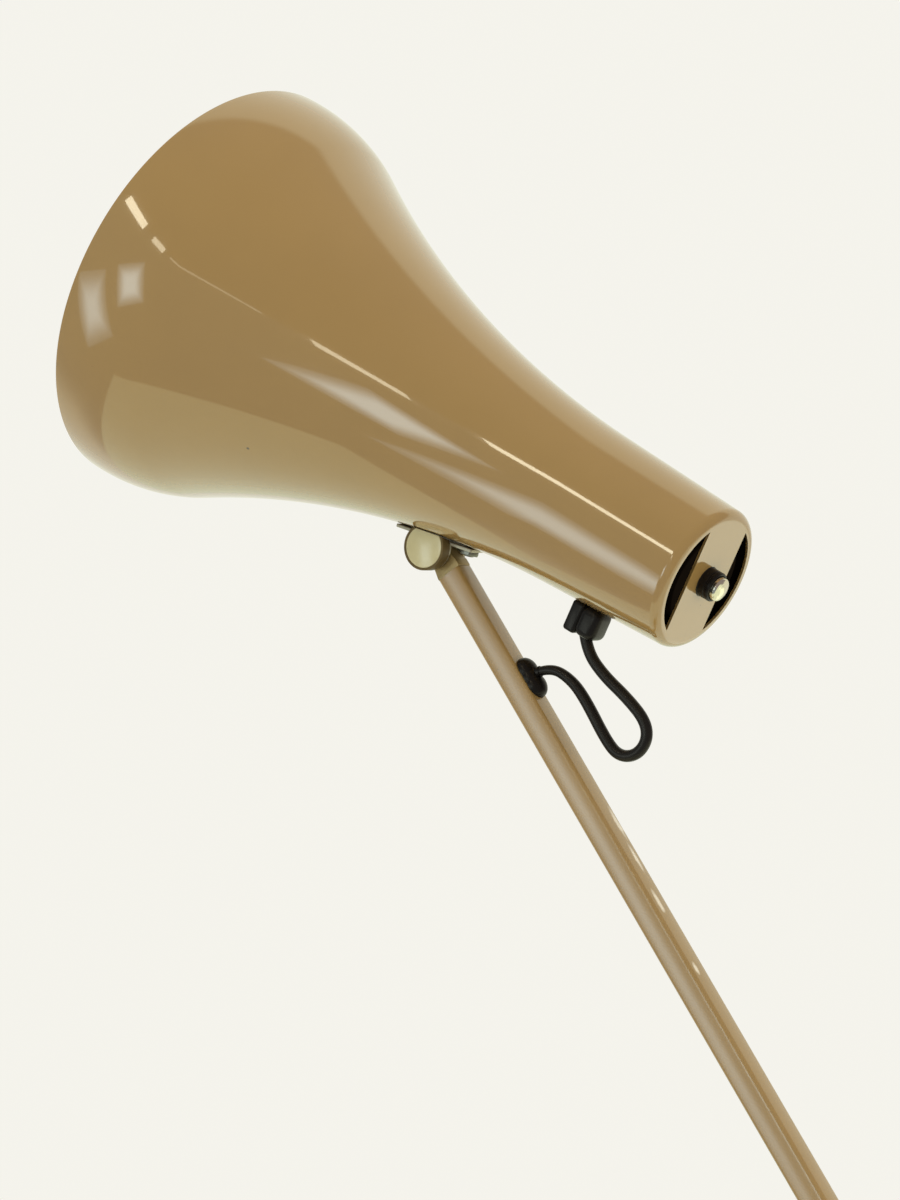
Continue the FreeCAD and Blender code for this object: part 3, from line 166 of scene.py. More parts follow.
def easeEdges(piece, width, segments, angle):
    return apply(piece, "BEVEL", width=width, segments=segments, limit_method="ANGLE",
                 angle_limit=math.radians(angle), use_clamp_overlap=True)


def selectFaces(piece, wanted):
    bpy.ops.object.mode_set(mode="OBJECT")
    for face in piece.data.polygons:
        face.select = wanted(face)
    bpy.ops.object.mode_set(mode="EDIT")


def finishPiece(piece, material, body, replaced, smooth=35):
    pick(piece)
    bpy.ops.object.shade_smooth_by_angle(angle=math.radians(smooth))
    piece.data.materials.clear()
    piece.data.materials.append(material)
    if body:
        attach(piece, body)
    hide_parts(*replaced)
    return piece


refineAngles = {"flat": 0.5, "sharp": 30}


def refine(node, name, edge):
    # a merged copy of a machined piece, flats made whole and sharp edges eased
    pick()
    piece = bpy.data.objects.new(name, nodes[node].data.copy())
    bpy.context.scene.collection.objects.link(piece)
    piece.data.name = name
    cleanUp(piece, normals=False)
    bpy.ops.object.mode_set(mode="EDIT")
    bpy.ops.mesh.select_all(action="SELECT")
    bpy.ops.mesh.dissolve_limited(angle_limit=math.radians(refineAngles["flat"]))
    bpy.ops.object.mode_set(mode="OBJECT")
    return easeEdges(piece, edge, segments=2, angle=refineAngles["sharp"])


# round wires: a line led by guiding points, then a solid about it
def drawLine(name, points, order, fineness):
    line = bpy.data.curves.new(name + "Line", "CURVE")
    line.dimensions = "3D"
    spline = line.splines.new("NURBS")
    spline.points.add(len(points) - 1)
    for point, spot in zip(spline.points, points):
        point.co = (*spot, 1)
    spline.order_u = order
    spline.use_endpoint_u = True
    spline.resolution_u = fineness
    piece = bpy.data.objects.new(name, line)
    bpy.context.scene.collection.objects.link(piece)
    return piece


def thicken(piece, radius, roundness):
    name, line = piece.name, piece.data
    line.bevel_depth = radius
    line.bevel_resolution = roundness
    line.use_fill_caps = True
    pick(piece)
    bpy.ops.object.convert(target="MESH")
    return cleanUp(named(name))


# materials: shared surface effects first
def addNode(tree, kind, inputs=(), **settings):
    node = tree.nodes.new(kind)
    for key, value in settings.items():
        setattr(node, key, value)
    for key, value in dict(inputs).items():
        node.inputs[key].default_value = value
    return node


def ramp(tree, low, high, start=0.0, finish=1.0, smooth=False):
    return addNode(tree, "ShaderNodeMapRange", {"From Min": low, "From Max": high, "To Min": start, "To Max": finish},
                   interpolation_type="SMOOTHSTEP" if smooth else "LINEAR")


def wire(tree, *links):
    for source, output, target, given in links:
        tree.links.new(source.outputs[output], target.inputs[given])


def newEffect(name, inputs, outputs):
    tree = bpy.data.node_groups.new(name, "ShaderNodeTree")
    for label, kind, value in inputs:
        tree.interface.new_socket(label, in_out="INPUT", socket_type=kind).default_value = value
    for label, kind in outputs:
        tree.interface.new_socket(label, in_out="OUTPUT", socket_type=kind)
    return tree, tree.nodes.new("NodeGroupInput"), tree.nodes.new("NodeGroupOutput")


colour, number, vector = "NodeSocketColor", "NodeSocketFloat", "NodeSocketVector"


def sprayedEffect():
    # stoved enamel: slow drift of tone, faint orange peel, a few specks
    tree, given, result = newEffect("sprayedEnamel", [
        ("Tone", colour, (0.3, 0.2, 0.1, 1)), ("Drift", number, 0.08), ("Gloss", number, 0.14)],
        [("Color", colour), ("Roughness", number), ("Height", number)])
    spot = addNode(tree, "ShaderNodeTexCoord")
    drift = addNode(tree, "ShaderNodeTexNoise", {"Scale": 14, "Detail": 4, "Roughness": 0.55})
    low = addNode(tree, "ShaderNodeMath", {0: 1}, operation="SUBTRACT")
    tint = ramp(tree, 0.3, 0.7)
    shaded = addNode(tree, "ShaderNodeMix", {"Factor": 1.0}, data_type="RGBA", blend_type="MULTIPLY")
    speck = addNode(tree, "ShaderNodeTexVoronoi", {"Scale": 34})
    dot = ramp(tree, 0.006, 0.012, 0.6, 0.0)
    specked = addNode(tree, "ShaderNodeMix", {"B": (0.05, 0.03, 0.015, 1)}, data_type="RGBA")
    peel = addNode(tree, "ShaderNodeTexNoise", {"Scale": 420, "Detail": 2})
    worn = addNode(tree, "ShaderNodeTexNoise", {"Scale": 55, "Detail": 5, "Roughness": 0.65})
    rough = ramp(tree, 0.35, 0.75, 0.0, 0.05)
    total = addNode(tree, "ShaderNodeMath", operation="ADD")
    wire(tree, (spot, "Object", drift, "Vector"), (spot, "Object", speck, "Vector"),
         (spot, "Object", peel, "Vector"), (spot, "Object", worn, "Vector"), (given, "Drift", low, 1),
         (low, 0, tint, "To Min"), (drift, "Fac", tint, "Value"), (given, "Tone", shaded, "A"),
         (tint, "Result", shaded, "B"), (shaded, "Result", specked, "A"), (speck, "Distance", dot, "Value"),
         (dot, "Result", specked, "Factor"), (specked, "Result", result, "Color"), (worn, "Fac", rough, "Value"),
         (rough, "Result", total, 0), (given, "Gloss", total, 1), (total, 0, result, "Roughness"),
         (peel, "Fac", result, "Height"))
    return tree


def grainEffect():
    # fine uneven grain for plating, mouldings, castings and felt
    tree, given, result = newEffect("fineGrain", [
        ("Tone", colour, (0.5, 0.5, 0.5, 1)), ("Shade", colour, (0.3, 0.3, 0.3, 1)),
        ("Grain", number, 300.0), ("Dull", number, 0.3), ("Spread", number, 0.15)],
        [("Color", colour), ("Roughness", number), ("Height", number)])
    spot = addNode(tree, "ShaderNodeTexCoord")
    fine = addNode(tree, "ShaderNodeTexNoise", {"Detail": 4, "Roughness": 0.6})
    broad = addNode(tree, "ShaderNodeTexNoise", {"Scale": 38, "Detail": 5, "Roughness": 0.6})
    patch = ramp(tree, 0.32, 0.68)
    mixed = addNode(tree, "ShaderNodeMix", data_type="RGBA")
    spread = addNode(tree, "ShaderNodeMath", operation="MULTIPLY")
    dull = addNode(tree, "ShaderNodeMath", operation="ADD")
    wire(tree, (spot, "Object", fine, "Vector"), (given, "Grain", fine, "Scale"), (spot, "Object", broad, "Vector"),
         (broad, "Fac", patch, "Value"), (patch, "Result", mixed, "Factor"), (given, "Tone", mixed, "A"),
         (given, "Shade", mixed, "B"), (mixed, "Result", result, "Color"), (fine, "Fac", spread, 0),
         (given, "Spread", spread, 1), (spread, 0, dull, 0), (given, "Dull", dull, 1),
         (dull, 0, result, "Roughness"), (fine, "Fac", result, "Height"))
    return tree


def speckAndHighlightEffect():
    # a ragged patch about one spot on a piece: painted highlights on the arm, a real speck on the shade
    tree, given, result = newEffect("speckAndHighlightPatch", [
        ("Centre", vector, (0, 0, 0)), ("Reach", vector, (0.01, 0.01, 0.01))], [("Mask", number)])
    spot = addNode(tree, "ShaderNodeTexCoord")
    away = addNode(tree, "ShaderNodeVectorMath", operation="SUBTRACT")
    sized = addNode(tree, "ShaderNodeVectorMath", operation="DIVIDE")
    far = addNode(tree, "ShaderNodeVectorMath", operation="LENGTH")
    ragged = addNode(tree, "ShaderNodeTexNoise", {"Scale": 260, "Detail": 3})
    rough = addNode(tree, "ShaderNodeMath", operation="ADD")
    mask = ramp(tree, 1.0, 1.6, 1.0, 0.0)
    wire(tree, (spot, "Object", away, 0), (given, "Centre", away, 1), (away, 0, sized, 0),
         (given, "Reach", sized, 1), (sized, 0, far, 0), (spot, "Object", ragged, "Vector"),
         (far, "Value", rough, 0), (ragged, "Fac", rough, 1), (rough, 0, mask, "Value"),
         (mask, "Result", result, "Mask"))
    return tree


effects = {"enamel": sprayedEffect(), "grain": grainEffect(), "scuff": speckAndHighlightEffect()}


def newMaterial(name, **constants):
    material = bpy.data.materials.new(name)
    material.use_nodes = True
    tree = material.node_tree
    shader = tree.nodes["Principled BSDF"]
    for key, value in constants.items():
        shader.inputs[key.replace("_", " ")].default_value = value
    return material, tree, shader


def useEffect(tree, effect, **values):
    node = addNode(tree, "ShaderNodeGroup", node_tree=effects[effect])
    for key, value in values.items():
        node.inputs[key].default_value = value
    return node


def emboss(tree, shader, surface, strength, distance=0.0002):
    bump = addNode(tree, "ShaderNodeBump", {"Strength": strength, "Distance": distance})
    wire(tree, (surface, "Height", bump, "Height"), (bump, "Normal", shader, "Normal"))


def enamelMaterial(name, tone, drift, gloss, specksAndHighlights=(), coating=1.0, blur=0.035, peel=0.02):
    material, tree, shader = newMaterial(name, Specular_IOR_Level=0.25, Coat_Weight=coating, Coat_IOR=1.65,
                                         Coat_Roughness=blur)
    coat = useEffect(tree, "enamel", Tone=tone, Drift=drift, Gloss=gloss)
    paint = coat, "Color"
    # each patch laid over the paint: painted highlights on the arm, a real speck on the shade
    for centre, reach, shade in specksAndHighlights:
        patch = useEffect(tree, "scuff", Centre=centre, Reach=reach)
        traced = addNode(tree, "ShaderNodeMix", {"B": shade}, data_type="RGBA")
        wire(tree, (patch, "Mask", traced, "Factor"), (*paint, traced, "A"))
        paint = traced, "Result"
    wire(tree, (*paint, shader, "Base Color"), (coat, "Roughness", shader, "Roughness"))
    emboss(tree, shader, coat, peel)
    return material


def grainMaterial(name, tone, shade, grain, dull, spread, bump, **constants):
    material, tree, shader = newMaterial(name, **constants)
    surface = useEffect(tree, "grain", Tone=tone, Shade=shade, Grain=grain, Dull=dull, Spread=spread)
    wire(tree, (surface, "Color", shader, "Base Color"), (surface, "Roughness", shader, "Roughness"))
    emboss(tree, shader, surface, bump)
    return material


paintedHighlightTone = (0.72, 0.62, 0.45, 1)  # painted highlights: pale patches on the arm standing in for light glancing off its uneven paint; each is a centre, a reach each way and a tone
armPaintedHighlights = [((0.022, 0.0024, 0.5929), (0.0055, 0.0016, 0.009), paintedHighlightTone),
             ((0.031, 0.001, 0.58), (0.005, 0.0012, 0.008), paintedHighlightTone),
             ((0.0418, -0.001, 0.5645), (0.005, 0.0014, 0.006), paintedHighlightTone),
             ((0.0588, -0.0018, 0.54), (0.0025, 0.0013, 0.0035), paintedHighlightTone)]
shadeSpecks = [((-0.1157, -0.0451, 0.7352), (0.0007, 0.0007, 0.0007), (0.06, 0.045, 0.03, 1))]
khaki = (0.325, 0.2, 0.063, 1)
enamel = enamelMaterial("khakiEnamel", khaki, drift=0.07, gloss=0.11, specksAndHighlights=shadeSpecks)
armEnamel = enamelMaterial("khakiEnamelArm", khaki, drift=0.09, gloss=0.2, specksAndHighlights=armPaintedHighlights, coating=0.9, blur=0.2)
liningEnamel = enamelMaterial("whiteLining", (0.72, 0.69, 0.6, 1), drift=0.05, gloss=0.3)
plated = grainMaterial("dullPlate", (0.34, 0.33, 0.27, 1), (0.24, 0.225, 0.17, 1),
                       grain=520, dull=0.28, spread=0.2, bump=0.08, Metallic=0.9)
turnedSteel = grainMaterial("turnedSteel", (0.5, 0.49, 0.45, 1), (0.36, 0.35, 0.32, 1),
                            grain=700, dull=0.2, spread=0.2, bump=0.06, Metallic=1.0)
springSteel = grainMaterial("springSteel", (0.42, 0.41, 0.39, 1), (0.27, 0.26, 0.25, 1),
                            grain=400, dull=0.22, spread=0.2, bump=0.05, Metallic=1.0)
passivated = grainMaterial("yellowPassivate", (0.42, 0.3, 0.12, 1), (0.3, 0.21, 0.08, 1),
                           grain=480, dull=0.3, spread=0.2, bump=0.08, Metallic=0.45)
blackMould = grainMaterial("blackMoulding", (0.005, 0.0042, 0.0034, 1), (0.008, 0.007, 0.006, 1),
                           grain=700, dull=0.24, spread=0.1, bump=0.02, Specular_IOR_Level=0.24,
                           Specular_Tint=(1, 0.88, 0.74, 1))
sheath = grainMaterial("flexSheath", (0.008, 0.007, 0.0055, 1), (0.0095, 0.0085, 0.007, 1),
                       grain=90, dull=0.3, spread=0.03, bump=0.001, Specular_IOR_Level=0.28,
                       Specular_Tint=(1, 0.88, 0.74, 1))
# black of the light baffle, also used as painted shade inside the shade's neck
baffleBlackAndNeckShade = grainMaterial("baffleBlackAndNeckShade", (0.007, 0.0048, 0.003, 1), (0.009, 0.006, 0.004, 1),
                            grain=500, dull=0.8, spread=0.15, bump=0.1, Specular_IOR_Level=0.0)
bakelite = grainMaterial("holderBakelite", (0.006, 0.0042, 0.0028, 1), (0.009, 0.0064, 0.0044, 1),
                         grain=500, dull=0.6, spread=0.2, bump=0.05, Specular_IOR_Level=0.0)
darkCup = grainMaterial("darkCup", (0.15, 0.104, 0.036, 1), (0.1, 0.068, 0.025, 1),
                        grain=500, dull=0.35, spread=0.2, bump=0.08, Specular_IOR_Level=0.15)
palePlate = grainMaterial("palePlate", (0.5, 0.45, 0.32, 1), (0.4, 0.36, 0.25, 1),
                          grain=520, dull=0.36, spread=0.2, bump=0.08, Metallic=0.55)
ivory = grainMaterial("agedIvory", (0.56, 0.5, 0.28, 1), (0.48, 0.42, 0.22, 1),
                      grain=260, dull=0.12, spread=0.12, bump=0.03, Coat_Weight=0.3)
chrome = grainMaterial("chromePlate", (0.84, 0.77, 0.6, 1), (0.74, 0.67, 0.5, 1),
                       grain=800, dull=0.1, spread=0.12, bump=0.02, Metallic=1.0)
castIron = grainMaterial("castIron", (0.05, 0.048, 0.046, 1), (0.075, 0.07, 0.065, 1),
                         grain=220, dull=0.6, spread=0.2, bump=0.5, Metallic=0.4)
felt = grainMaterial("feltPad", (0.03, 0.036, 0.03, 1), (0.045, 0.052, 0.043, 1),
                     grain=1400, dull=0.85, spread=0.12, bump=0.6, Sheen_Weight=0.4)
nylon = grainMaterial("nylonWasher", (0.62, 0.6, 0.52, 1), (0.55, 0.53, 0.45, 1),
                      grain=600, dull=0.4, spread=0.15, bump=0.05)
brass = grainMaterial("dullBrass", (0.62, 0.44, 0.17, 1), (0.45, 0.31, 0.12, 1),
                      grain=500, dull=0.25, spread=0.2, bump=0.05, Metallic=1.0)
opal = grainMaterial("opalGlass", (0.85, 0.84, 0.8, 1), (0.8, 0.79, 0.74, 1),
                     grain=90, dull=0.08, spread=0.06, bump=0.02, Transmission_Weight=0.15)
print("materials ready")


# flex between the arm and the shade: guiding points in mm from the hinge, with a rounder fold than the plain solid's
flexSizes = {"radius": 0.0023, "route": [
    (65.15, -31.15), (66.2, -38.4), (73.4, -47.3), (83.7, -55.7), (91.8, -64.2), (92.8, -71.3), (88.4, -77.0),
    (81.3, -78.0), (75.6, -73.6), (64.8, -55.6), (58.4, -48.7), (50.4, -44.7), (44.54, -46.28)],
    "thin": {10: 0.94, 11: 0.84, 12: 0.78}}


def flexRoute():
    return [Vector(joints["hinge"]) + Vector((x, 0, z)) / 1000 for x, z in flexSizes["route"]]


def placeAlong(path, spot):
    # how far along the path the nearest place to a spot is
    gone, nearest, found = 0, 1, 0
    for before, after in zip(path, path[1:]):
        share = min(max(intersect_point_line(spot, before, after)[1], 0), 1)
        gap = (before.lerp(after, share) - spot).length
        if gap < nearest:
            nearest, found = gap, gone + (after - before).length * share
        gone += (after - before).length
    return found


def makeFlex():
    piece = drawLine("flexLoop", flexRoute(), order=3, fineness=14)
    for index, share in flexSizes["thin"].items():
        piece.data.splines[0].points[index].radius = share
    traced = bpy.data.meshes.new_from_object(piece.evaluated_get(bpy.context.evaluated_depsgraph_get()))
    path = [vertex.co.copy() for vertex in traced.vertices]
    piece = thicken(piece, flexSizes["radius"], roundness=8)
    finishPiece(piece, sheath, None, ["flex_loop"])
    # laid out straight along its own length, its place baked in, then put back
    shape = [vertex.co.copy() for vertex in piece.data.vertices]
    for vertex in piece.data.vertices:
        vertex.co = (0, 0, placeAlong(path, vertex.co))
    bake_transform(piece)
    for vertex, spot in zip(piece.data.vertices, shape):
        vertex.co = spot


makeFlex()


# shade: one spun profile, outside and inside, then the vents cut through its flat rear end
shadeSizes = {"rear": 0.02867, "round": 0.0036, "taper": 2.74, "neck": 0.05953, "flare": 0.3861, "flareAngle": 28.11,
              "shoulder": 0.0716, "mouthAngle": -1.79, "wall": 0.001, "hole": 0.00465, "vent": 0.0242, "band": 0.013,
              "ventDepth": 0.004, "neckShadeDepth": 0.05, "lipDepth": 0.35, "rearEdge": 0.0004, "rearFlat": 0.00035,
              "eased": 0.0002, "stations": (10, 7, 40, 24), "facing": 0.999, "innerSide": 0.6, "inward": 0.2,
              "upward": 0.5, "rearInside": 0.02}


def shadeCurve(offset):
    # stations from the rear round to the mouth, set in from the outside by an offset
    s = shadeSizes
    taper, flare, lip = (math.radians(s[key]) for key in ("taper", "flareAngle", "mouthAngle"))
    roundSteps, neckSteps, flareSteps, lipSteps = s["stations"]
    rearRound = s["round"]
    centre = s["rear"] + rearRound * math.tan(taper) - rearRound / math.cos(taper)
    stations = []
    for i in range(roundSteps + 1):
        angle = math.radians(90) + (taper - math.radians(90)) * i / roundSteps
        reach = rearRound - offset
        stations.append((centre + reach * math.cos(angle), rearRound - reach * math.sin(angle)))
    start = s["rear"] + s["neck"] * math.tan(taper)
    for i in range(1, neckSteps):
        z = rearRound + (s["neck"] - rearRound) * i / neckSteps
        stations.append((s["rear"] + z * math.tan(taper) - offset * math.cos(taper), z + offset * math.sin(taper)))
    for i in range(flareSteps + 1):
        angle = taper + (flare - taper) * i / flareSteps
        r = start + s["flare"] * (math.cos(taper) - math.cos(angle))
        z = s["neck"] + s["flare"] * (math.sin(angle) - math.sin(taper))
        stations.append((r - offset * math.cos(angle), z + offset * math.sin(angle)))
    flareR = start + s["flare"] * (math.cos(taper) - math.cos(flare))
    flareZ = s["neck"] + s["flare"] * (math.sin(flare) - math.sin(taper))
    for i in range(1, lipSteps + 1):
        angle = flare + (lip - flare) * i / lipSteps
        r = flareR + s["shoulder"] * (math.cos(angle) - math.cos(flare))
        z = flareZ + s["shoulder"] * (math.sin(flare) - math.sin(angle))
        stations.append((r - offset * math.cos(angle), z + offset * math.sin(angle)))
    return stations


def makeShade():
    s = shadeSizes
    outside, inside = shadeCurve(0), shadeCurve(s["wall"])
    lipR, lipZ = (outside[-1][0] + inside[-1][0]) / 2, outside[-1][1]
    rolled = [(lipR + s["wall"] / 2 * math.cos(a), lipZ + s["wall"] * s["lipDepth"] * math.sin(a))
              for a in map(math.radians, (30, 60, 90, 120, 150))]
    profile = [(s["hole"], 0), (outside[0][0] - s["rearEdge"], 0)] + outside + rolled + inside[::-1]
    profile += [(s["hole"], s["wall"]), (s["hole"], 0)]
    piece = turnProfile("shadeShell", profile, steps=192, where=tablePlace)
    cutters = []
    for side in (1, -1):
        pick()
        bpy.ops.mesh.primitive_cylinder_add(vertices=128, radius=s["vent"], depth=s["ventDepth"], location=(0, 0, 0))
        cutter = named("ventCutter")
        bpy.ops.object.mode_set(mode="EDIT")
        bpy.ops.mesh.select_all(action="SELECT")
        bpy.ops.mesh.bisect(plane_co=(0, side * s["band"], 0), plane_no=(0, side, 0), use_fill=True, clear_inner=True)
        bpy.ops.object.mode_set(mode="OBJECT")
        cutters.append(cutter)
    cutAway(piece, *cutters)
    easeEdges(piece, s["eased"], segments=2, angle=50)
    finishPiece(piece, enamel, None, ["shade"], smooth=40)
    # the rim of the flat rear end stays crisp
    bpy.ops.object.mode_set(mode="EDIT")
    bpy.ops.mesh.select_mode(type="FACE")
    selectFaces(piece, lambda face: face.normal.z < -s["facing"] and abs(face.center.z) < planeGap and
                math.hypot(face.center.x, face.center.y) < outside[0][0] - s["rearFlat"])
    bpy.ops.mesh.region_to_loop()
    bpy.ops.mesh.mark_sharp()
    bpy.ops.mesh.select_mode(type="VERT")
    bpy.ops.object.mode_set(mode="OBJECT")
    piece.data.materials.append(liningEnamel)
    piece.data.materials.append(baffleBlackAndNeckShade)  # painted shade: the inside of the neck behind the lampholder takes the baffle's black, standing in for the shadow there
    for face in piece.data.polygons:
        # the lining is what faces the axis, and the inner side of the rear end
        across = face.normal.x * face.center.x + face.normal.y * face.center.y
        inward = -across / math.hypot(face.center.x, face.center.y)
        rearInside = face.normal.z > s["upward"] and face.center.z < s["rearInside"]
        lining = face.center.z > s["wall"] * s["innerSide"] and (inward > s["inward"] or rearInside)
        # lining faces near the rear end get the black that stands in for the neck's shadow
        face.material_index = (2 if face.center.z < s["neckShadeDepth"] else 1) if lining else 0
    apply(piece, "WEIGHTED_NORMAL", keep_sharp=True, weight=60)
    settle(piece, shadePlace)
    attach(piece, "head")
    print("shade made,", len(piece.data.polygons), "faces")


makeShade()


# moulded bushes: the arm's is three rounded lobes and a collar, the shade's a block and a lobe
bushSizes = {"armFace": 0.00552, "armLobes": [(-0.0059, 0, 0.0601), (-0.0059, 0, 0.0635), (-0.0059, 0, 0.0669)],
             "armLobe": (0.0042, 0.0047, 0.0054), "armEdge": 0.0006, "collar": 0.0021, "collarSink": 0.0022,
             "collarLength": 0.006, "faceBlock": (0.02, 0.03, 0.05), "faceMiddle": 0.0634,
             "shadeBlock": (-0.0368, 0, 0.0431), "block": (0.0124, 0.0106, 0.0056), "edge": 0.0013,
             "shadeLobe": (-0.0365, 0, 0.0367), "lobe": (0.0124, 0.0112, 0.0096), "lobeRound": 0.0032,
             "neckLength": 0.06, "neckMiddle": 0.04, "neckRoom": 0.00005, "neckEdge": 0.0005}


def lobeAt(name, where, radii, spot):
    pick()
    bpy.ops.mesh.primitive_uv_sphere_add(segments=40, ring_count=24, radius=1, location=spot, scale=radii)
    return settle(named(name), where)


def boxAt(name, where, size, spot):
    pick()
    bpy.ops.mesh.primitive_cube_add(size=1, location=spot, scale=size)
    return settle(named(name), where)


def boreAt(name, start, way, radius, length):
    pick()
    bpy.ops.mesh.primitive_cylinder_add(vertices=40, radius=radius, depth=length, location=start,
                                        rotation=Vector(way).to_track_quat("Z", "Y").to_euler())
    return settle(named(name), tablePlace)


def makeBushes():
    b = bushSizes
    route = flexRoute()
    first, second, third = (lobeAt("bushLobe", upperPlace, b["armLobe"], spot) for spot in b["armLobes"])
    way = (route[-2] - route[-1]).normalized()
    collar = boreAt("bushCollar", route[-1] - way * b["collarSink"], way, b["collar"], b["collarLength"])
    armBush = joinOn(first, second, third, collar)
    faceSpot = (b["faceBlock"][0] / 2 - b["armFace"], 0, b["faceMiddle"])
    cutAway(armBush, boxAt("faceCutter", upperPlace, b["faceBlock"], faceSpot))
    easeEdges(armBush, b["armEdge"], segments=3, angle=45)
    armBush.name = armBush.data.name = "armBush"
    finishPiece(armBush, blackMould, "upper_arm", ["arm_bush"], smooth=50)
    block = boxAt("shadeBush", shadePlace, b["block"], b["shadeBlock"])
    easeEdges(block, b["edge"], segments=4, angle=50)
    lobe = boxAt("bushLobe", shadePlace, b["lobe"], b["shadeLobe"])
    easeEdges(lobe, b["lobeRound"], segments=6, angle=50)
    joinOn(block, lobe)
    pick()
    bpy.ops.mesh.primitive_cylinder_add(vertices=160, radius=1, depth=b["neckLength"],
                                        location=(0, 0, b["neckMiddle"]))
    neck = named("neckCutter")
    for vertex in neck.data.vertices:
        # the neck's own taper, with a hair of room
        reach = shadeSizes["rear"] + vertex.co.z * math.tan(math.radians(shadeSizes["taper"])) + b["neckRoom"]
        vertex.co.x, vertex.co.y = vertex.co.x * reach, vertex.co.y * reach
    cutAway(block, settle(neck, shadePlace))
    easeEdges(block, b["neckEdge"], segments=3, angle=45)
    finishPiece(block, blackMould, "head", ["shade_bush"], smooth=50)
    print("bushes made")


makeBushes()


# push switch: grooved collar and a domed metal button
switchSizes = {"collar": 0.0059, "front": -0.0052, "neck": 0.0046, "depth": 0.008, "well": 0.00486, "floor": -0.0008,
               "rim": 0.0006, "eased": 0.0002, "foot": 0.0003, "slack": 0.00015,
               "groove": [(0, 0.0016), (0.00025, 0.0018), (0.00025, 0.0022), (0, 0.0024)],
               "button": 0.0047, "tip": -0.0076, "stem": 0.0026, "soft": 0.0012, "flat": 0.0029, "flatRise": 0.00003,
               "dome": 0.0005, "domeStep": 0.0006, "shoulder": -0.0031, "stemEnd": 0.004}


def makeSwitch():
    s = switchSizes
    rim = curveThrough((s["collar"] - s["rim"], s["front"] + s["rim"]), s["rim"], 270, 360, 4)
    groove = [(s["collar"] - deep, s["front"] + back) for deep, back in s["groove"]]
    bore = s["stem"] + s["slack"]
    collar = turnProfile("switchCollar", [
        (s["well"], s["floor"]), (s["well"], s["front"] + s["eased"]), (s["well"] + s["eased"], s["front"])] +
        rim + groove + [
        (s["collar"], -s["foot"]), (s["collar"] + s["foot"], 0), (s["neck"], 0), (s["neck"], s["depth"]),
        (bore, s["depth"]), (bore, s["floor"]), (s["well"], s["floor"])], steps=72, where=shadePlace)
    finishPiece(collar, blackMould, "head", ["switch_collar"])
    tip = s["tip"]
    shoulder = curveThrough((s["button"] - s["soft"], tip + s["soft"]), s["soft"], 300, 360, 5)
    dome = [(s["domeStep"] * i, tip - s["dome"] * (1 - (i / 5) ** 2)) for i in range(5)]
    button = turnProfile("switchButton", dome + [(s["flat"], tip - s["flatRise"])] + shoulder + [
        (s["button"], s["shoulder"]), (s["stem"], s["shoulder"]), (s["stem"], s["stemEnd"]), (0, s["stemEnd"])],
        steps=72, where=shadePlace)
    finishPiece(button, chrome, "switch_button", ["switch_button"], smooth=28)
    print("switch made")


makeSwitch()


# lamp inside the shade
lampSizes = {"globe": 0.029, "globeFrom": -38, "centre": 0.12, "glass": 0.0008, "neck": 0.013, "neckEnd": 0.072,
             "cap": 0.011, "capEnd": 0.064, "waistSteps": 8, "crown": 0.002}


def makeBulb():
    s = lampSizes
    globe = curveThrough((0, s["centre"]), s["globe"], s["globeFrom"], 90, 30)
    waist = []
    for i in range(1, s["waistSteps"]):
        t = i / s["waistSteps"]
        ease = t * t * (3 - 2 * t)
        waist.append((s["neck"] + (globe[0][0] - s["neck"]) * (0.5 * t + 0.5 * ease),
                      s["neckEnd"] + (globe[0][1] - s["neckEnd"]) * t))
    outside = [(s["cap"], s["capEnd"]), (s["neck"], s["neckEnd"])] + waist + globe
    inside = [(max(r - s["glass"], 0), z - (s["glass"] if r < s["crown"] else 0)) for r, z in outside][::-1]
    bulb = turnProfile("bulbGlass", outside + inside + [outside[0]], steps=72, where=shadePlace)
    finishPiece(bulb, opal, "head", ["bulb_glass"])
    print("bulb made")


makeBulb()


# spun base cover with a rolled foot and a hole for the lead's grommet
coverSizes = {"radius": 0.095, "shoulder": 0.012, "slopeTop": 0.026, "crown": 0.026, "top": 0.034, "bore": 0.0064,
              "crownRound": 0.05, "wall": 0.0015, "foot": 0.002, "footRound": 0.0006, "grommet": 0.0042,
              "grommetHeight": 0.0105, "grommetDepth": 0.02}


def makeCover():
    s = coverSizes
    edge, low = s["radius"] - s["shoulder"], s["slopeTop"] - s["shoulder"]
    footRound = s["footRound"]
    fall = math.atan2(s["top"] - s["slopeTop"], edge - s["crown"])
    outside = [(s["bore"] + (s["crown"] - s["bore"]) * i / 4, s["top"]) for i in range(4)]
    outside += curveThrough((s["crown"], s["top"] - s["crownRound"]), s["crownRound"], 90, 90 - math.degrees(fall), 5)
    startR, startZ = outside[-1]
    outside += [(startR + (edge - startR) * i / 10, startZ + (s["slopeTop"] - startZ) * i / 10) for i in range(1, 10)]
    outside += curveThrough((edge, low), s["shoulder"], 90 - math.degrees(fall) / 2, 0, 18)
    outside += [(s["radius"], s["foot"] + footRound)]
    outside += curveThrough((s["radius"] - footRound, s["foot"] + footRound), footRound, 0, -90, 4)
    inside = [(s["radius"] - s["wall"], s["foot"]), (s["radius"] - s["wall"], low)]
    inside += curveThrough((edge, low), s["shoulder"] - s["wall"], 0, 90, 10)
    inside += [(s["crown"], s["top"] - s["wall"]), (s["bore"], s["top"] - s["wall"]), (s["bore"], s["top"])]
    cover = turnProfile("baseCover", outside + inside, steps=160, where=tablePlace)
    cutAway(cover, boreAt("grommetCutter", (s["radius"], 0, s["grommetHeight"]), (1, 0, 0), s["grommet"],
                          s["grommetDepth"]))
    finishPiece(cover, enamel, "base", ["base_cover"], smooth=40)
    apply(cover, "WEIGHTED_NORMAL", keep_sharp=True, weight=60)
    print("base cover made")


makeCover()


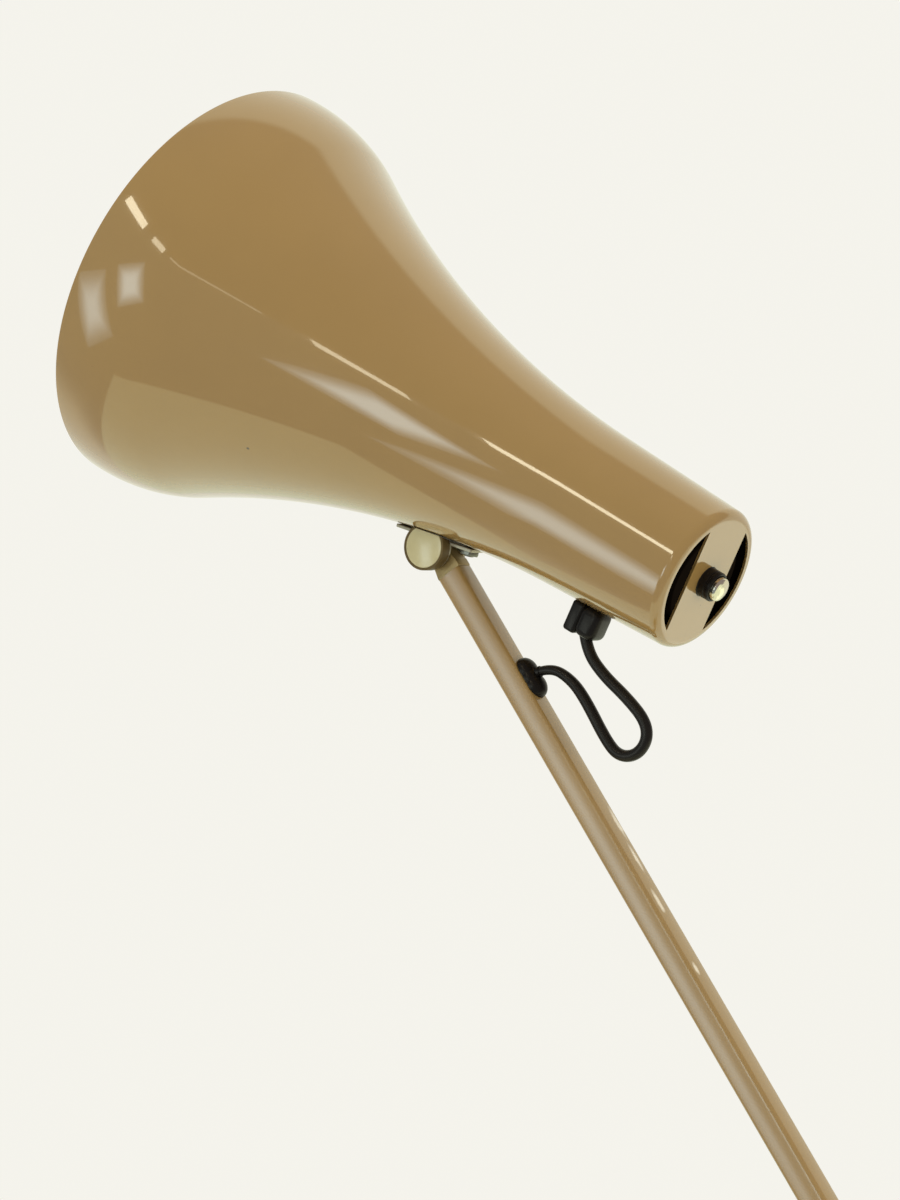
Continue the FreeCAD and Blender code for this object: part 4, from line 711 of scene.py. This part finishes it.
# tension springs: open coils with a hook at the start and a hook or an eye at the end
springSizes = {"wire": 0.0009, "coil": 0.0046, "hook": 0.003, "hookArc": (-60, -300, 12), "eye": 0.0029,
               "eyeArc": (150, -130, 14), "hookNeck": [(0.0046, 0.0011), (0.0064, 0.0002), (0.0082, 0)],
               "eyeNeck": [(0.0062, 0.0002), (0.0042, 0.0011)], "lead": 0.0115, "perTurn": 16,
               "anchor": (-0.046, 0.076), "side": 0.0186, "pinHeight": 0.095, "lowerTurns": 30, "lowerBend": 0.077,
               "lugReach": -0.027, "lugHeight": 0.19, "upperTurns": 38, "upperBend": 0.016}


def makeSpring(name, node, start, finish, turns, eyeAtEnd):
    s = springSizes
    start, finish = Vector(start), Vector(finish)
    axis = (finish - start).normalized()
    across = Vector((0, 1, 0))
    side = across.cross(axis)
    length = (finish - start).length

    def spot(u, v, y):
        return start + axis * u + side * v + across * y

    hook = curveThrough((0, 0), s["hook"], *s["hookArc"]) + s["hookNeck"]
    points = [spot(u, v, 0) for u, v in hook]
    low, high = s["lead"], length - s["lead"] - (s["eye"] if eyeAtEnd else 0)
    count = turns * s["perTurn"]
    for i in range(count + 1):
        a = math.tau * i / s["perTurn"]
        ease = min(1, i / (s["perTurn"] / 2), (count - i) / (s["perTurn"] / 2))
        reach = s["coil"] * ease
        points.append(spot(low + (high - low) * i / count, reach * math.cos(a), reach * math.sin(a)))
    if eyeAtEnd:
        middle = length - s["eye"]
        points += [spot(middle - u, 0, y) for u, y in s["eyeNeck"]]
        points += [spot(middle + u, 0, y) for u, y in curveThrough((0, 0), s["eye"], *s["eyeArc"])]
    else:
        points += [spot(length - u, -v, 0) for u, v in hook[::-1]]
    piece = thicken(drawLine(name, points, order=4, fineness=2), s["wire"], roundness=3)
    finishPiece(piece, springSteel, None, [node])
    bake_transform(piece)
    print("spring made:", name, len(piece.data.polygons), "faces")


def makeSprings():
    s = springSizes
    for name, node, y in (("lowerSpringNear", "lower_spring_near", -s["side"]),
                          ("lowerSpringFar", "lower_spring_far", s["side"])):
        makeSpring(name, node, (s["anchor"][0], y, s["anchor"][1]), lowerPlace @ Vector((0, y, s["pinHeight"])),
                   s["lowerTurns"], False)
    makeSpring("upperSpring", "upper_spring", lowerPlace @ Vector((s["lugReach"], 0, 0)),
               lowerPlace @ Vector((s["lugReach"], 0, s["lugHeight"])), s["upperTurns"], True)


makeSprings()


# square arm tubes: drawn tube with faintly crowned faces and open ends
tubeSizes = {"side": 0.011, "corner": 0.0017, "crown": 0.00022, "wall": 0.001,
             "rows": (-0.6, -0.3, 0, 0.3, 0.6), "rowSpread": 1.25, "upper": (0.0108, 0.334), "lower": (0.014, 0.32)}


def makeTubeArm(name, node, where, span):
    s = tubeSizes
    half = s["side"] / 2 - s["crown"]
    flat = half - s["corner"]
    length = span[1] - span[0]
    pick()
    bpy.ops.mesh.primitive_cube_add(size=1, location=(0, 0, (span[0] + span[1]) / 2),
                                    scale=(half * 2, half * 2, length))
    tube = named(name)
    bpy.ops.object.transform_apply(location=True, rotation=True, scale=True)
    bpy.ops.object.mode_set(mode="EDIT")
    bpy.ops.mesh.select_mode(type="FACE")
    selectFaces(tube, lambda face: abs(face.normal.z) > 0.9)
    bpy.ops.mesh.delete(type="FACE")
    bpy.ops.mesh.select_mode(type="EDGE")
    bpy.ops.mesh.select_all(action="SELECT")
    bpy.ops.object.mode_set(mode="OBJECT")
    for edge in tube.data.edges:
        a, b = (tube.data.vertices[i].co for i in edge.vertices)
        edge.select = abs(a.z - b.z) > length / 2
    bpy.ops.object.mode_set(mode="EDIT")
    bpy.ops.mesh.bevel(offset=s["corner"], segments=6, affect="EDGES")
    for spot in s["rows"]:
        for normal in ((1, 0, 0), (0, 1, 0)):
            bpy.ops.mesh.select_all(action="SELECT")
            bpy.ops.mesh.bisect(plane_co=Vector(normal) * spot * flat * s["rowSpread"], plane_no=normal)
    bpy.ops.object.mode_set(mode="OBJECT")
    for axis in (0, 1):
        for vertex in tube.data.vertices:
            # each flat rises to a low crown in its middle
            if abs(abs(vertex.co[axis]) - half) < planeGap:
                share = min(abs(vertex.co[1 - axis]) / flat, 1)
                vertex.co[axis] += math.copysign(s["crown"] * (1 - share * share), vertex.co[axis])
    cleanUp(tube)
    apply(tube, "SOLIDIFY", thickness=s["wall"], offset=-1)
    settle(tube, where)
    return finishPiece(tube, armEnamel, bodyOf[node], [node], smooth=40)


makeTubeArm("upperTube", "upper_tube", upperPlace, tubeSizes["upper"])
makeTubeArm("lowerTube", "lower_tube", lowerPlace, tubeSizes["lower"])
print("arm tubes made")


# machined and pressed pieces: node, eased edge, finish
steelPieces = {"base_plate": 0.0002, "base_screws": 0.0002, "spindle": 0.0004, "spindle_nut": 0.0003,
               "base_collar": 0.0005, "swivel_block": 0.0006, "retaining_screw": 0.0002, "cheek_near": 0.0004,
               "cheek_far": 0.0004, "cheek_screws": 0.0002, "anchor_pin": 0.0003, "main_bolt": 0.0003,
               "main_nut": 0.0003, "main_washers": 0.0001, "lower_foot": 0.0004, "elbow_plate_near": 0.0003,
               "elbow_plate_far": 0.0003, "elbow_rivets": 0.0003, "arm_spring_pin": 0.0003, "spring_lug": 0.0003,
               "elbow_bolt": 0.0003, "elbow_nut": 0.0003, "elbow_washers": 0.0001, "crank_near": 0.0003,
               "crank_far": 0.0003, "crank_pins": 0.0002, "crank_spacers": 0.0002, "tie_rod": 0.0003,
               "elbow_fitting": 0.0004, "tail_pin": 0.0002, "bracket_screws": 0.0002,
               "bracket_nuts": 0.0002, "hinge_bolt": 0.0002, "hinge_nut": 0.0002, "hinge_washers": 0.0001}
bright = ("spindle", "anchor_pin", "main_bolt", "elbow_bolt", "arm_spring_pin", "crank_pins", "tail_pin",
          "hinge_bolt", "elbow_rivets", "tie_rod", "cheek_screws", "base_screws", "retaining_screw")
otherPieces = {"shade_bracket": (0.0002, palePlate, "steel"), "arm_tongue": (0.0003, passivated, "zinc_yellow"),
               "hinge_cup": (0.0002, darkCup, "dark_metal"), "hinge_disc": (0.0003, ivory, "ivory"),
               "light_baffle": (0.0001, baffleBlackAndNeckShade, "dark_metal"),
               "lampholder": (0.0004, bakelite, "black_plastic"), "holder_ring": (0.0004, bakelite, "black_plastic"),
               "base_grommet": (0.0004, blackMould, "black_plastic"), "base_pad": (0.0003, felt, "felt"),
               "base_weight": (0.0006, castIron, "iron"), "thrust_washer": (0.0002, nylon, "nylon"),
               "bulb_cap": (0.0004, brass, "brass")}


def plainName(node):
    first, *rest = node.split("_")
    return first + "".join(word.title() for word in rest) + "Piece"


def finishMachined():
    for node, edge in steelPieces.items():
        piece = refine(node, plainName(node), edge)
        finishPiece(piece, turnedSteel if node in bright else plated, bodyOf[node], [node])
    for node, (edge, material, slot) in otherPieces.items():
        piece = refine(node, plainName(node), edge)
        finishPiece(piece, material, bodyOf[node], [node])
    print("machined pieces finished")


finishMachined()


# pale floor, soft light, camera and background
floorSizes = {"radius": 2.2, "fade": (1.3, 0.97), "paper": (0.86, 0.85, 0.78, 1), "mirrored": (0.8, 0.87, 0.69, 1),
              "corner": (-0.585, -0.755), "turn": 23.9, "sheetEdge": 0.012}


def makeFloor():
    # fades out all round, and in reflections is a sheet with one corner
    s = floorSizes
    pick()
    bpy.ops.mesh.primitive_circle_add(vertices=128, radius=s["radius"], fill_type="NGON", location=(0, 0, 0))
    floor = named("floor")
    material, tree, shader = newMaterial("paleFloor", Roughness=0.8, Specular_IOR_Level=0.1)
    paper = addNode(tree, "ShaderNodeMix", {"A": s["paper"], "B": s["mirrored"]}, data_type="RGBA")
    spot = addNode(tree, "ShaderNodeTexCoord")
    far = addNode(tree, "ShaderNodeVectorMath", operation="LENGTH")
    edge = ramp(tree, s["fade"][0], s["radius"] * s["fade"][1], 1.0, 0.0, smooth=True)
    square = addNode(tree, "ShaderNodeMapping", {"Location": (*s["corner"], 0),
                                                 "Rotation": (0, 0, math.radians(s["turn"]))}, vector_type="TEXTURE")
    sides = addNode(tree, "ShaderNodeSeparateXYZ")
    least = addNode(tree, "ShaderNodeMath", operation="MINIMUM")
    sheet = ramp(tree, 0.0, s["sheetEdge"])
    path = addNode(tree, "ShaderNodeLightPath")
    shown = addNode(tree, "ShaderNodeMix")
    wire(tree, (spot, "Object", far, 0), (far, "Value", edge, "Value"), (spot, "Object", square, "Vector"),
         (square, "Vector", sides, 0), (sides, "X", least, 0), (sides, "Y", least, 1), (least, 0, sheet, "Value"),
         (path, "Is Glossy Ray", shown, "Factor"), (path, "Is Glossy Ray", paper, "Factor"),
         (paper, "Result", shader, "Base Color"), (edge, "Result", shown, "A"), (sheet, "Result", shown, "B"),
         (shown, "Result", shader, "Alpha"))
    floor.data.materials.append(material)


lightSizes = {"middle": (-0.03, 0, 0.74), "windowAway": 2.5, "tubeAway": 2.2, "glow": (0.84, 1.0, 1.03, 1),
              "pane": (1.5, 0.25), "groundTone": (1, 0.98, 0.84), "tubeTone": (1, 0.92, 0.68)}


def makeLamp(name, spot, target, width, height, power):
    lamp = bpy.data.lights.new(name, "AREA")
    lamp.shape = "RECTANGLE"
    lamp.size, lamp.size_y, lamp.energy = width, height, power
    holder = bpy.data.objects.new(name, lamp)
    bpy.context.scene.collection.objects.link(holder)
    holder.location = spot
    holder.rotation_euler = (Vector(target) - Vector(spot)).to_track_quat("-Z", "Y").to_euler()
    return holder


def makeTube(name, start, finish, width, power):
    middle, away = Vector(lightSizes["middle"]), lightSizes["tubeAway"]
    lamp = makeLamp(name, middle + away / 2 * (start + finish), middle, (finish - start).length * away, width, power)
    z = (lamp.location - middle).normalized()
    x = (finish - start).normalized()
    x = (x - z * x.dot(z)).normalized()
    lamp.rotation_euler = Matrix((x, z.cross(x), z)).transposed().to_euler()
    lamp.data.color = lightSizes["tubeTone"]


def softWindow(lamp, fade):
    # panes dim towards their edges, as through thin curtains
    lamp.data.use_nodes = True
    tree = lamp.data.node_tree
    tree.nodes.clear()
    out = addNode(tree, "ShaderNodeOutputLight")
    glow = addNode(tree, "ShaderNodeEmission", {"Color": lightSizes["glow"]})
    spot = addNode(tree, "ShaderNodeNewGeometry")
    centred = addNode(tree, "ShaderNodeVectorMath", {1: (0.5, 0.5, 0)}, operation="SUBTRACT")
    even = addNode(tree, "ShaderNodeVectorMath", operation="ABSOLUTE")
    sides = addNode(tree, "ShaderNodeSeparateXYZ")
    widest = addNode(tree, "ShaderNodeMath", operation="MAXIMUM")
    level = ramp(tree, 0.5 - fade, 0.5, *lightSizes["pane"], smooth=True)
    wire(tree, (spot, "Parametric", centred, 0), (centred, 0, even, 0), (even, 0, sides, 0),
         (sides, "X", widest, 0), (sides, "Y", widest, 1), (widest, 0, level, "Value"),
         (level, "Result", glow, "Strength"), (glow, 0, out, "Surface"))


def towards(azimuth, elevation, distance):
    a, e = math.radians(azimuth), math.radians(elevation)
    way = Vector((math.sin(a) * math.cos(e), math.cos(a) * math.cos(e), math.sin(e)))
    return Vector(lightSizes["middle"]) + distance * way


def makeLight():
    # each lamp: name, place, target, width, height, power
    middle, away = lightSizes["middle"], lightSizes["windowAway"]
    softWindow(makeLamp("windowNear", towards(212, -9, away), middle, 0.85, 1.45, 7.5), fade=0.42)
    softWindow(makeLamp("windowFar", towards(186.5, -1.5, away), middle, 0.74, 0.92, 5), fade=0.36)
    makeLamp("fillRight", (3.0, 0.3, 0.4), (0.06, 0, 0.68), 1.2, 0.6, 13).visible_glossy = False
    # pale ground behind the lamp, seen in its rear face only
    ground = makeLamp("groundBehind", (0.6, 1.25, 0.01), (0.6, 1.25, 1), 1.0, 1.0, 1.6)
    ground.data.color = lightSizes["groundTone"]
    ground.visible_diffuse = ground.visible_camera = False
    makeLamp("overhead", (0.2, 0.3, 2.6), (0, 0, 0.4), 2.4, 2.4, 20).visible_glossy = False
    # a thin bright tube along the ceiling edge, broken in two places
    for name, start, finish, width, power in (
            ("tubeHigh", (-0.044, -0.887, 0.461), (-0.311, -0.691, 0.652), 0.14, 2.8),
            ("tubeMiddle", (0.067, -0.925, 0.36), (0.207, -0.95, 0.245), 0.11, 0.69),
            ("tubeLow", (0.277, -0.943, 0.182), (0.402, -0.913, 0.072), 0.032, 0.07)):
        makeTube(name, Vector(start), Vector(finish), width, power)


# the room that gloss mirrors: a pale wall behind, a ceiling to one side, a plain backdrop for the camera
roomSizes = {"backdrop": (0.91, 0.898, 0.838, 1), "wall": (0.84, 0.84, 0.71, 1), "room": (0.27, 0.31, 0.36, 1),
             "ceiling": (0.27, 0.235, 0.25, 1), "fill": (1, 0.99, 0.96, 1), "fillLevels": (0.78, 1.0),
             "wallWay": (-0.75, 0.655, -0.115), "wallEdge": (-0.03, 0.08), "depthEdge": (-0.38, 0.08),
             "underEdge": (-0.74, -0.54), "belowEdge": (-0.62, -0.74), "ceilingWay": (0.655, 0.3415, 0.674),
             "ceilingEdge": (-0.015, 0.015)}


def makeRoom():
    s = roomSizes
    world = bpy.data.worlds.new("studio")
    bpy.context.scene.world = world
    world.use_nodes = True
    tree = world.node_tree
    tree.nodes.clear()
    out = addNode(tree, "ShaderNodeOutputWorld")
    seen = addNode(tree, "ShaderNodeBackground", {"Strength": 1.0})
    fill = addNode(tree, "ShaderNodeBackground", {"Color": s["fill"]})
    choose = addNode(tree, "ShaderNodeMixShader")
    path = addNode(tree, "ShaderNodeLightPath")
    either = addNode(tree, "ShaderNodeMath", operation="MAXIMUM")
    anyRay = addNode(tree, "ShaderNodeMath", operation="MAXIMUM")
    spot = addNode(tree, "ShaderNodeTexCoord")
    split = addNode(tree, "ShaderNodeSeparateXYZ")
    behind = addNode(tree, "ShaderNodeVectorMath", {1: s["wallWay"]}, operation="DOT_PRODUCT")
    wall = ramp(tree, *s["wallEdge"], smooth=True)
    depth = ramp(tree, *s["depthEdge"], smooth=True)
    under = ramp(tree, *s["underEdge"], smooth=True)
    level = addNode(tree, "ShaderNodeMath", operation="MULTIPLY")
    shown = addNode(tree, "ShaderNodeMath", operation="MULTIPLY")
    above = addNode(tree, "ShaderNodeVectorMath", {1: s["ceilingWay"]}, operation="DOT_PRODUCT")
    ceiling = ramp(tree, *s["ceilingEdge"])
    below = ramp(tree, *s["belowEdge"], smooth=True)
    pale = addNode(tree, "ShaderNodeMath", operation="MAXIMUM")
    room = addNode(tree, "ShaderNodeMix", {"A": s["room"], "B": s["ceiling"]}, data_type="RGBA")
    tone = addNode(tree, "ShaderNodeMix", {"B": s["wall"]}, data_type="RGBA")
    plain = addNode(tree, "ShaderNodeMix", {"B": s["backdrop"]}, data_type="RGBA")
    strength = ramp(tree, 0.0, 1.0, *s["fillLevels"])
    wire(tree, (spot, "Generated", split, 0), (spot, "Generated", behind, 0), (spot, "Generated", above, 0),
         (behind, "Value", wall, "Value"), (split, "Y", depth, "Value"), (split, "Z", under, "Value"),
         (wall, "Result", level, 0), (depth, "Result", level, 1), (level, 0, shown, 0), (under, "Result", shown, 1),
         (above, "Value", ceiling, "Value"), (ceiling, "Result", room, "Factor"), (room, "Result", tone, "A"),
         (shown, 0, tone, "Factor"), (tone, "Result", plain, "A"), (path, "Is Camera Ray", plain, "Factor"),
         (plain, "Result", seen, "Color"), (split, "Z", below, "Value"), (shown, 0, pale, 0),
         (below, "Result", pale, 1), (pale, 0, strength, "Value"), (strength, "Result", fill, "Strength"),
         (path, "Is Camera Ray", either, 0), (path, "Is Glossy Ray", either, 1), (either, 0, anyRay, 0),
         (path, "Is Transmission Ray", anyRay, 1), (anyRay, 0, choose, "Fac"), (fill, 0, choose, 1),
         (seen, 0, choose, 2), (choose, 0, out, "Surface"))


cameraSizes = {"lens": 129, "sensor": 36, "place": (0.8694, -1.3803, 0.6766), "turn": (90, 0, 33.73)}


def makeCamera():
    s = cameraSizes
    lens = bpy.data.cameras.new("camera")
    lens.lens, lens.sensor_width = s["lens"], s["sensor"]
    camera = bpy.data.objects.new("camera", lens)
    bpy.context.scene.collection.objects.link(camera)
    camera.location = s["place"]
    camera.rotation_euler = [math.radians(angle) for angle in s["turn"]]
    bpy.context.scene.camera = camera


makeFloor()
makeLight()
makeRoom()
makeCamera()
bpy.context.scene.view_settings.view_transform = "Standard"
print("stage ready")
